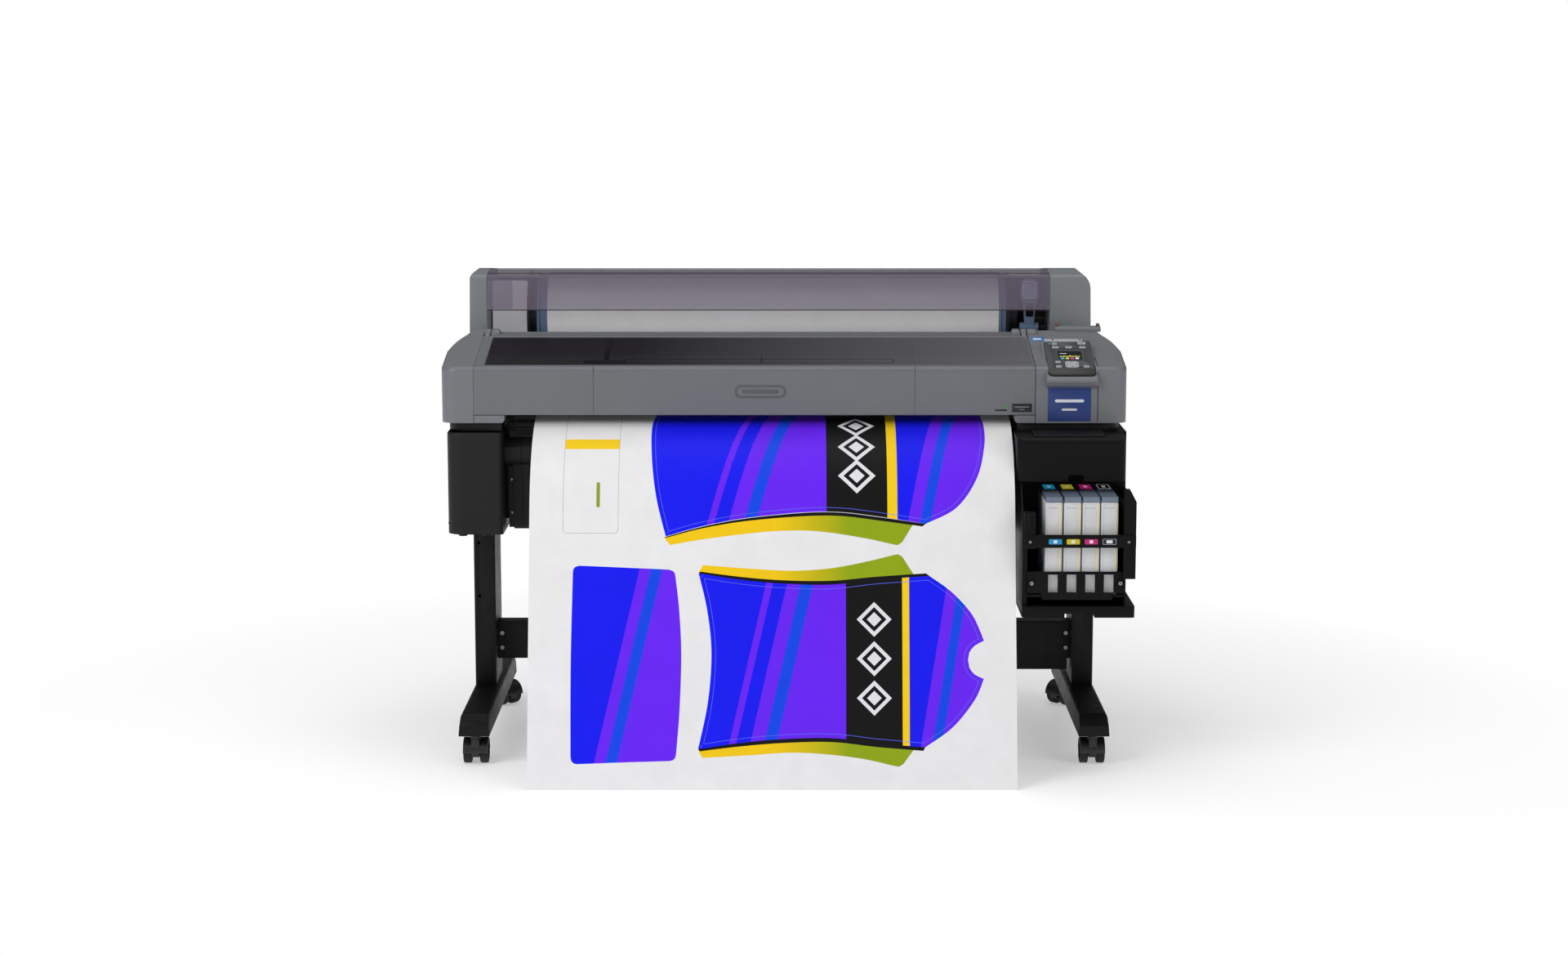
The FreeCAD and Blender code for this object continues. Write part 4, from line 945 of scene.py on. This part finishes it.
def bend(flat):
    """Upper and lower skins of the sheet along its run, with a slight ripple, in mm."""
    x, s = flat[:, 0], flat[:, 1]
    line_y, line_z = RUN_LINE[:, 0], RUN_LINE[:, 1]
    y, z = np.interp(s, RUN_LENGTH, line_y), np.interp(s, RUN_LENGTH, line_z)
    tangent_y = np.interp(s, RUN_LENGTH, np.gradient(line_y, RUN_LENGTH))
    tangent_z = np.interp(s, RUN_LENGTH, np.gradient(line_z, RUN_LENGTH))
    size = np.hypot(tangent_y, tangent_z)
    ny, nz = tangent_z / size, -tangent_y / size
    # the upper side faces the front and up
    flip = np.where(ny * -1.0 + nz * 0.6 < 0, -1.0, 1.0)
    ny, nz = ny * flip, nz * flip
    amount = np.clip((s - 200) / 300, 0, 1) * np.clip((SHEET_END - s) / 60, 0, 1)
    ripple = amount * (0.7 * np.sin(x / 150 + s / 320) + 0.35 * np.sin(x / 63 - s / 210 + 1.0))
    skins = []
    for half in (SHEET_THICK / 2, -SHEET_THICK / 2):
        skins.append(np.stack([x, y + ny * (half + ripple), z + nz * (half + ripple)], 1))
    return np.concatenate(skins)


def build_sheet():
    flat, tris = sheet_plan()
    index = ink_index(flat[tris].mean(1))
    a, b, c = flat[tris[:, 0]], flat[tris[:, 1]], flat[tris[:, 2]]
    area = (b[:, 0] - a[:, 0]) * (c[:, 1] - a[:, 1]) - (b[:, 1] - a[:, 1]) * (c[:, 0] - a[:, 0])
    tris[area < 0] = tris[area < 0][:, ::-1]
    edges = dict.fromkeys((int(t[i]), int(t[(i + 1) % 3])) for t in tris for i in range(3))
    rim = [e for e in edges if (e[1], e[0]) not in edges]
    n = len(flat)
    faces = [tuple(int(i) for i in t) for t in tris]
    faces += [tuple(int(i) + n for i in t[::-1]) for t in tris]
    faces += [(j, i, i + n, j + n) for i, j in rim]
    index = list(index) + [INKS.index("paper")] * (len(tris) + len(rim))
    sheet = make("sheet_web", bend(flat) * MM, faces, ["sheet_" + ink for ink in INKS],
                 "printer", index=index, sharp=40, slot="printed_paper")
    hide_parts("printed_sheet")


build_sheet()


# ============================================================ media roll
def build_roll():
    """Paper wound on a cardboard core."""
    x0, x1 = SHEET_X0, SHEET_X1
    # (x, radius); the first eight bands are paper, the rest is the core
    profile = [(x0, 41.2), (x0, ROLL_R - 0.5), (x0 + 0.6, ROLL_R), (-400, ROLL_R), (0, ROLL_R),
               (300, ROLL_R), (x1 - 0.6, ROLL_R), (x1, ROLL_R - 0.5), (x1, 41.2),
               (x1 - 0.8, 41.0), (x1 - 0.8, 38.1), (0, 38.1), (x0 + 0.8, 38.1), (x0 + 0.8, 41.0)]
    n = 96
    index = [0 if i < 8 else 1 for i in range(len(profile)) for _ in range(n)]
    roll = loft("roll_stock", turned_x(profile, ROLL_Y, ROLL_Z, n), ["media_paper", "cardboard"],
                "media_roll", closed=True, index=index, slot="media_paper")
    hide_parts("media_roll")


build_roll()

# ============================================================ drawing planes
ALONG, DEPTH, UP = (1, 0, 0), (0, 1, 0), (0, 0, 1)
SLOPE = 0.2                                 # rise of the cover top for each mm of depth
SLOPE_LENGTH = math.sqrt(1 + 0.04)          # mm along that slope for each mm of depth
FACE_Y = -196.0                             # front face of the cover


def top_z(y):
    return 932.0 + SLOPE * (y - FACE_Y)


def front(y):
    """Upright plane that faces the front."""
    return Plane((0, y, 0), ALONG, UP)


def sloped(x0, x1, y0, y1):
    """Box on the cover top, from depths along Y."""
    return x0, x1, y0 * SLOPE_LENGTH, y1 * SLOPE_LENGTH


FACE = front(FACE_Y)
TOP = Plane((0, 0, top_z(0)), ALONG, (0, 1, SLOPE))
panel_tilt = math.atan2(60.0, 164.0)
PANEL = Plane((673.5, -213.0, 921.0), ALONG, (0, math.cos(panel_tilt), math.sin(panel_tilt)))
DECK = Plane((0, 61, 983.4), ALONG, (0, 43, 3.8))
BACK = Plane((0, 471.0, 0), (-1, 0, 0), UP)
SIDE_LEFT = Plane((-762.0, 0, 0), (0, -1, 0), UP)
SIDE_RIGHT = Plane((748.0, 0, 0), DEPTH, UP)

# ============================================================ ink tanks
# (x from, x to, x of the strap label, top tab material, strap label material)
TANKS = [(598.0, 637.0, 604.5, "tab_cyan", "cyan"),
         (640.5, 680.0, 645.3, "tab_yellow", "ink_yellow"),
         (683.0, 722.5, 686.5, "tab_magenta", "magenta"),
         (725.5, 765.0, 728.0, "tab_black", "ink_black")]
TANK_Z0, TANK_Z1 = 432.3, 644.9
# (y, inset, corner radius) from the back of a tank to its front
TANK_STATIONS = [(-188.2, 1.5, 3.0), (-190, 0, 4), (-300, 0, 4), (-387.5, 0, 4),
                 (-389.3, 0.7, 3.6), (-390, 2.2, 3), (-390, 4.6, 2.4), (-389.1, 5.4, 2.2),
                 (-389.1, 7.5, 2)]


def build_tank(number, x0, x1):
    loops = []
    for y, d, r in TANK_STATIONS:
        outline = rounded((x0 + d, x1 - d, TANK_Z0 + d, TANK_Z1 - d), r)
        loops.append([point(a, y, b) for a, b in outline])
    tank = loft("tank_%d" % number, loops, "tank_plastic", "printer", slot="tank_plastic")
    plate("tank_duct_%d" % number, front(-389.6), (x1 - 8.2, x1 - 2.4, 434, 641), 1.6, -0.6, 0.9,
          "cream", "printer", slot="tank_plastic")
    return tank


tanks = [build_tank(i + 1, *tank[:2]) for i, tank in enumerate(TANKS)]
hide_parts("ink_tanks")

# ============================================================ front and top covers
# blank name plate with two bars
plates(FACE, "printer", [
    ("plate_blue", (617.5, 718.5, 806.5, 888), 1.2, -0.2, 0.6, "label_blue"),
    ("plate_bar_1", (634, 702, 851, 858), 3.4, 0.5, 0.75, "label_white"),
    ("plate_bar_2", (650, 686, 831.5, 836.5), 2.4, 0.5, 0.75, "label_white")])
# blank raised badge near the middle of the cover, and small stickers
flat_ring("badge_rim", FACE, rounded((-115, 4, 862, 891), 14.4, 10),
          rounded((-111.5, 0.5, 865.5, 887.5), 10.9, 10), -0.2, 1.5, "mark_grey", "front_cover")
plates(FACE, "front_cover", [
    ("badge_bar", (-98, -13, 872.6, 880.4), 3.8, -0.2, 1.2, "mark_grey"),
    ("sticker_grey", (494, 522, 830.5, 834.5), 0.8, -0.1, 0.25, "label_black"),
    ("sticker_dot", (517, 526, 836.5, 845.5), 4.4, -0.1, 0.25, "label_green"),
    ("sticker_black", (533.5, 580.5, 828, 848), 0.8, -0.1, 0.3, "label_black"),
    ("sticker_line_1", (540, 574, 839.5, 841), 0.7, 0.2, 0.4, "label_grey"),
    ("sticker_line_2", (551, 563, 833.5, 834.7), 0.6, 0.2, 0.4, "label_grey")])
plates(TOP, "printer", [
    ("sticker_sky", sloped(596, 626, 12, 46), 1.0, -0.1, 0.3, "sky"),
    ("sticker_sky_bar", sloped(600, 620, 22, 35), 1.0, 0.2, 0.4, "label_white")])


def hinge_barrel(name, x0, x1):
    """Barrel on the hinge axis of the front cover."""
    r = 13.0
    profile = [(x0, r - 3.2), (x0 + 0.8, r - 1.0), (x0 + 3, r),
               (x1 - 3, r), (x1 - 0.8, r - 1.0), (x1, r - 3.2)]
    loft(name, turned_x(profile, 75, 984, 40), "grey_plastic", "front_cover")


def saddle(name, x0, x1):
    """Low arched block with drawn-in ends."""
    middle_y, foot_z = 83, 981
    arch = [(60, foot_z), (61.5, 987), (66, 992.5), (73, 996), (82, 997), (91, 995), (99, 991),
            (105, 985.5), (106, foot_z)]
    loops = []
    for x, k in ((x0, 0.80), (x0 + 1.0, 0.93), (x0 + 3.0, 1.0),
                 (x1 - 5.0, 1.0), (x1 - 1.6, 0.9), (x1, 0.7)):
        loops.append([point(x, middle_y + (y - middle_y) * (0.9 + 0.1 * k),
                            foot_z + (z - foot_z) * k) for y, z in arch])
    loft(name, loops, "grey_plastic", "printer", sharp=40)


hinge_barrel("hinge_barrel_left", -724.5, -709.0)
hinge_barrel("hinge_barrel_right", 573.0, 587.0)
saddle("hinge_saddle_left", -708.2, -688.0)
saddle("hinge_saddle_right", 552.0, 572.2)
saddle("hinge_cap_right", 588.6, 613.0)

plate("side_seam_face", FACE, (733.2, 735.0, 806, 921), 0.4, -0.2, 0.22, "seam_shadow", "printer")
plate("side_seam_top", TOP, sloped(733.2, 735.0, -184, -20), 0.4, -0.2, 0.22, "seam_shadow",
      "printer")
plate("panel_rest", PANEL, (-54, 37, 168, 181), 4.0, -7.0, 2.2, "button_grey", "printer")
for i, x in enumerate((-34.0, 31.0)):
    disc("panel_rest_pin_%d" % i, PANEL, x, 174.5, 2.4, 2.0, 3.6, "mark_grey", "printer", dome=0.6)

# steel rings on the front of the stand columns
for x, side in ((-744.0, "left"), (744.0, "right")):
    for i, z in enumerate((346.0, 477.0)):
        flat_ring("hole_ring_%s_%d" % (side, i), Plane((x, 41.0, z), ALONG, UP),
                  circle(0, 0, 7.2), circle(0, 0, 4.4), -0.4, 0.8, "bolt_steel", "printer")

# fine lines and a rib along the deck behind the window
plates(DECK, "printer", [
    ("deck_rib_0", (-693, 557, 7, 9), 0.5, -0.1, 0.25, "seam_shadow"),
    ("deck_rib_1", (-693, 557, 22, 23.2), 0.5, -0.1, 0.25, "seam_shadow"),
    ("deck_rib_2", (-693, 557, 27, 36), 0.5, -0.1, 1.3, "deck_grey")])

# printed lines on the window
flat_ring("window_line", TOP, rounded(sloped(-374, 258, -157, -128), 7, 8),
          rounded(sloped(-372.2, 256.2, -155.4, -129.8), 5.4, 8), 0.0, 0.12,
          "window_ink", "front_cover")
plates(TOP, "front_cover", [
    ("window_tick_1", sloped(-54, -52, -157, -112), 0.4, 0.0, 0.12, "window_ink"),
    ("window_bar", sloped(-471, -372, -160, -137), 2, 0.0, 0.1, "window_ink"),
    ("window_post", sloped(-424, -412, -136, 36), 1, 0.0, 0.08, "window_ink")])

# small posts on the ledge at the right
for i, x in enumerate((664.0, 763.0)):
    disc("ledge_post_%d" % i, Plane((x, 103, top_z(103) + 6), ALONG, DEPTH), 0, 0, 4.6, 0, 9.5,
         "brown", "printer", dome=1.0)

# ============================================================ around the roll
# the left guard glows a little: painted light that brightens it in the hood's shade
plate("roll_guard_left", front(298), (-727.5, -637.8, 958, 1096), 8, -2.0, 0.0, "guard_grey",
      "printer")
plate("roll_guard_right", front(456), (560.0, 650.0, 930, 1088), 6, -2.0, 0.0, "guard_dark",
      "printer")
plate("cover_side_tint", front(197.5), (-726.5, -668, 1034, 1107), 6, -1.2, 0.0, "smoked_hood",
      "roll_cover")
# thin dark lines along the hood's top crease and lower edge
plate("cover_line_top", Plane((0, 190.5, 1117.5), ALONG, (0, 99.5, 10)),
      (-729.5, 652.5, 27, 33), 0.8, -0.2, 0.3, "cover_ink", "roll_cover")
plate("cover_line_low", front(186.4), (-729.5, 652.5, 1031.6, 1033.6), 0.5, -0.2, 0.35,
      "cover_ink", "roll_cover")
flat_ring("lever_pad_rim", front(229), rounded((590, 624, 1057, 1101), 6),
          rounded((592.2, 621.8, 1059.2, 1098.8), 4.4), -0.2, 1.4, "lever_rim", "roll_lock_lever")
plates(front(229), "roll_lock_lever", [
    ("lever_pad", (592, 622, 1059, 1099), 4.4, -0.2, 0.5, "lever_pad"),
    ("lever_recess", (598, 617, 1012, 1046), 4.0, -0.2, 0.4, "guard_dark")])
# side bridges close the gap between the front covers and the roll towers
plate("side_bridge_left", SIDE_LEFT, (-187, -100, 797, 962), 2.0, -3.0, 0.0, "grey_plastic",
      "printer")
plate("side_bridge_right", SIDE_RIGHT, (100, 187, 797, 962), 2.0, -3.0, 0.0, "grey_plastic",
      "printer")

# ============================================================ back
# across values on this plane run towards -X
for i, u in enumerate((-380.0, 10.0, 400.0)):
    plate("back_seam_%d" % i, BACK, (u, u + 1.6, 812, 1088), 0.4, -0.1, 0.25, "seam_shadow",
          "printer")
for i, u in enumerate((-620.0, -420.0, -200.0, -30.0, 50.0, 220.0, 440.0, 700.0)):
    for j, z in enumerate((826.0, 1078.0)):
        disc("back_screw_%d_%d" % (i, j), BACK, u, z, 4.2, -0.3, 1.6, "bolt_steel", "printer",
             socket=1.9)
for i in range(12):
    u = 470 + 14 * i
    plate("back_slot_%d" % i, BACK, (u, u + 5, 868, 918), 2.4, -0.1, 0.3, "seam_shadow", "printer")
INLET_FACE = (-594, -552, 854, 882)
flat_ring("inlet_rim", BACK, rounded((-598, -548, 850, 886), 4), rounded(INLET_FACE, 2.5),
          -0.2, 2.2, "black_plastic", "printer")
plate("inlet_face", BACK, INLET_FACE, 2.5, -0.2, 0.6, "seam_shadow", "printer")
for i, u in enumerate((-583.0, -574.5, -566.0)):
    plate("inlet_pin_%d" % i, BACK, (u, u + 3.0, 864, 874), 0.6, 0.5, 1.8, "blade_steel",
          "printer")
for i, u in enumerate((-520.0, -494.0)):
    face = (u + 1.6, u + 16.4, 861.6, 874.4)
    flat_ring("port_rim_%d" % i, BACK, rounded((u, u + 18, 860, 876), 1.6), rounded(face, 1.0),
              -0.2, 1.4, "bolt_steel", "printer")
    plate("port_face_%d" % i, BACK, face, 1.0, -0.2, 0.4, "seam_shadow", "printer")

# ============================================================ ink unit
SLIDER_TOP = Plane((0, 0, 656.5), ALONG, DEPTH)
SLIDER_FRONT = front(-391.0)
STRAP_FRONT = front(-411.0)


def label_tank(number, x0, x1, strap_x, tab, strap):
    """Colour tab on the slider, label on the strap and a line on the tank."""
    slider = "ink_slider_%d" % number
    rimmed = tab == "tab_black"        # the black labels have a pale rim
    plates(SLIDER_TOP, slider, [
        ("tab_%d" % number, (x0 + 8, x1 - 5, -262, -196), 2.0, -0.15, 0.35, tab),
        ("tab_mark_%d" % number, (x0 + 17, x1 - 14, -240, -216), 1.0, 0.3, 0.5, "tab_white")])
    if rimmed:
        flat_ring("tab_rim_%d" % number, SLIDER_TOP,
                  rounded((x0 + 7.4, x1 - 4.4, -263, -195), 2.4),
                  rounded((x0 + 8.6, x1 - 5.6, -261, -197), 1.8), -0.1, 0.45, "tab_white", slider)
    plate("slider_nib_%d" % number, SLIDER_FRONT, (x0 + 14, x0 + 18, 645.4, 648.2), 0.8,
          -0.2, 0.8, "slate_plastic", slider)
    mark0, mark1 = (8, 22) if rimmed else (11, 19)
    plates(STRAP_FRONT, "printer", [
        ("strap_label_%d" % number, (strap_x, strap_x + 30, 551.2, 563.2), 2.0, -0.1, 0.35, strap),
        ("strap_mark_%d" % number, (strap_x + mark0, strap_x + mark1, 553.6, 560.8), 0.8,
         0.3, 0.5, "label_white")])
    if rimmed:
        flat_ring("strap_rim", STRAP_FRONT,
                  rounded((strap_x - 0.8, strap_x + 30.8, 550.4, 564), 2.4),
                  rounded((strap_x + 0.4, strap_x + 29.6, 551.6, 562.8), 1.6), -0.1, 0.45,
                  "label_grey", "printer")
    plate("tank_line_%d" % number, front(-389.1), (x0 + 7, x1 - 10, 630.9, 631.9), 0.4,
          -0.1, 0.5, "label_grey", "printer")


for i, tank in enumerate(TANKS):
    label_tank(i + 1, *tank)
# (x, z, y, radius)
UNIT_SCREWS = [(562, 557, -413.5, 3.2), (787, 557, -413.5, 3.2),
               (567, 460, -407, 4.6), (770, 460, -407, 4.6)]
for i, (x, z, y, r) in enumerate(UNIT_SCREWS):
    disc("unit_screw_%d" % i, front(y), x, z, r, -0.3, 1.0, "bolt_steel", "printer",
         socket=r * 0.45)
for i, z in enumerate((579.1, 658.6)):
    disc("guide_screw_%d" % i, front(-126.5), -646.6, z, 3.0, -0.3, 0.8, "bolt_steel", "printer",
         socket=1.3)

# ============================================================ control panel
plate("panel_lamp", PANEL, (-44, -40.4, 155, 158.6), 1.7, -0.1, 0.9, "lit_cyan", "printer")
SCREEN_BLOBS = (("lit_cyan", -22), ("lit_yellow", -10.5), ("lit_magenta", 1), ("lit_white", 12.5))
for i, (key, u) in enumerate(SCREEN_BLOBS):
    plate("screen_blob_%d" % i, PANEL, (u, u + 8.5, 76, 83), 2.2, 0.38, 0.5, key, "printer")
plates(PANEL, "printer", [
    ("screen_line", (-23, -6, 104, 105.6), 0.6, 0.38, 0.5, "lit_white"),
    ("screen_rule", (-25, 25, 87.4, 88.8), 0.4, 0.38, 0.5, "lit_yellow")])
for i, height in enumerate((2.0, 3.4, 1.8, 4.2, 2.4, 3.0, 2.0)):
    plate("screen_bar_%d" % i, PANEL, (-22 + 6.9 * i, -17.6 + 6.9 * i, 90, 90 + height), 0.6,
          0.38, 0.5, "lit_yellow" if i % 2 else "lit_green", "printer")

# centre of each button on the panel
BUTTONS = {"power": (-31.0, 156.5), "pause": (33.75, 159.25), "row_left": (-30.25, 137.0),
           "row_middle": (1.25, 137.0), "row_right": (33.75, 137.0), "back": (-30.0, 59.0),
           "menu": (-30.0, 35.0), "enter": (34.5, 35.0)}
PAD_U, PAD_V = 2, 46
MARK_LOW, MARK_HIGH = 1.2, 1.4


def mark_button(key, u, v):
    """Ring on the power button, two bars on pause, a short bar on the others."""
    body = "button_" + key
    if key == "power":
        flat_ring("mark_power", PANEL, circle(u, v, 3.4), circle(u, v, 2.6), MARK_LOW, MARK_HIGH,
                  "label_black", body)
        return
    if key == "pause":
        bars = [("_a", (u - 3.2, u - 1.4, v - 2.6, v + 2.6), 0.3),
                ("_b", (u + 1.4, u + 3.2, v - 2.6, v + 2.6), 0.3)]
    else:
        bars = [("", (u - 3.4, u + 3.4, v - 0.7, v + 0.7), 0.5)]
    for suffix, box, radius in bars:
        plate("mark_" + key + suffix, PANEL, box, radius, MARK_LOW, MARK_HIGH, "label_black", body)


for key, centre in BUTTONS.items():
    mark_button(key, *centre)
# arrowheads on the round pad
for i, (du, dv) in enumerate(((0, 11.5), (0, -11.5), (11.5, 0), (-11.5, 0))):
    a = math.atan2(dv, du)
    arrow = [(PAD_U + du + 2.6 * math.cos(a + t), PAD_V + dv + 2.6 * math.sin(a + t))
             for t in (0, 2.2, -2.2)]
    loft("mark_pad_%d" % i, [PANEL.loop(arrow, MARK_LOW), PANEL.loop(arrow, 1.42)],
         "label_black", "button_pad")

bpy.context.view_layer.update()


# ============================================================ floor, lights, camera (metres)
def floor_material():
    """Pale floor that turns into plain white away from the machine."""
    g = Graph("floor_sweep")
    distance = g.node("ShaderNodeVectorMath", operation="LENGTH")
    g.feed(distance.inputs[0], g.object)
    far = g.span(distance.outputs["Value"], (1.0, 2.2))
    g.surface((0.84, 0.84, 0.84), g.span(g.noise(scale=4.0), MID, to=(0.8, 0.9)),
              g.bump(g.noise(scale=900.0), distance=0.0001, strength=0.2), spec=0.0,
              **{"Emission Color": (1.0, 1.0, 1.0), "Emission Strength": 0.385})
    white = g.node("ShaderNodeEmission")
    g.feed(white.inputs[0], (1, 1, 1))
    mix = g.node("ShaderNodeMixShader")
    for socket, value in zip(mix.inputs, (far, g.bsdf.outputs[0], white.outputs[0])):
        g.feed(socket, value)
    g.feed(g.out.inputs[0], mix.outputs[0])
    return g.material


def build_floor():
    n = 64
    radii = [0.8, 1.6, 2.6, 4.0, 7.0, 14.0]
    verts = [(0, 0, 0)]
    for r in radii:
        verts += [(x, y, 0) for x, y in circle(0, 0, r, n)]
    faces = [(0, 1 + i, 1 + (i + 1) % n) for i in range(n)]
    for k in range(len(radii) - 1):
        for i in range(n):
            a, b = 1 + k * n + i, 1 + k * n + (i + 1) % n
            faces.append((a, a + n, b + n, b))
    mesh = bpy.data.meshes.new("studio_floor")
    mesh.from_pydata(verts, [], faces)
    obj = bpy.data.objects.new("studio_floor", mesh)
    SCENE.collection.objects.link(obj)
    mesh.materials.append(floor_material())


def area_light(name, location, target, width, height, power):
    light = bpy.data.lights.new(name, "AREA")
    light.shape = "RECTANGLE"
    light.size = width
    light.size_y = height
    light.energy = power
    obj = bpy.data.objects.new(name, light)
    SCENE.collection.objects.link(obj)
    obj.location = location
    aim = Vector(target) - Vector(location)
    obj.rotation_euler = aim.to_track_quat("-Z", "Y").to_euler()


def build_world():
    """White to the camera, dim white to everything else."""
    world = bpy.data.worlds.new("studio")
    SCENE.world = world
    world.use_nodes = True
    tree = world.node_tree
    tree.nodes.clear()
    out = tree.nodes.new("ShaderNodeOutputWorld")
    mix = tree.nodes.new("ShaderNodeMixShader")
    path_node = tree.nodes.new("ShaderNodeLightPath")
    tree.links.new(path_node.outputs["Is Camera Ray"], mix.inputs[0])
    for i, strength in ((1, 0.17), (2, 1.0)):
        background = tree.nodes.new("ShaderNodeBackground")
        background.inputs[0].default_value = (1, 1, 1, 1)
        background.inputs[1].default_value = strength
        tree.links.new(background.outputs[0], mix.inputs[i])
    tree.links.new(mix.outputs[0], out.inputs[0])


def build_camera():
    camera = bpy.data.cameras.new("view")
    camera.sensor_width = 36.0
    camera.lens = 67.5
    camera.clip_end = 100
    obj = bpy.data.objects.new("view", camera)
    SCENE.collection.objects.link(obj)
    obj.location = (0.0, -7.026, 1.693)
    obj.rotation_euler = (math.radians(81.5), 0, 0)
    SCENE.camera = obj


build_floor()
# name, location, target, width, height, power in watts
for row in [("key_left", (-4.0, -4.2, 4.2), (0, 0, 0.6), 3.2, 3.2, 158),
            ("fill_right", (4.0, -4.2, 4.0), (0, 0, 0.6), 3.2, 3.2, 40),
            ("overhead", (0, 0.2, 4.6), (0, 0, 0), 3.6, 3.6, 76),
            ("front", (0.4, -6.5, 1.15), (0.2, 0, 0.62), 3.0, 1.0, 22),
            ("side_left", (-2.9, -1.9, 1.5), (-0.4, 0, 0.85), 0.7, 2.2, 6),
            ("side_right", (2.9, -1.9, 1.5), (0.4, 0, 0.85), 0.7, 2.2, 8)]:
    area_light(*row)
build_world()
build_camera()
SCENE.view_settings.view_transform = "Standard"
SCENE.view_settings.look = "None"
SCENE.view_settings.exposure = 0.0
SCENE.view_settings.gamma = 1.0
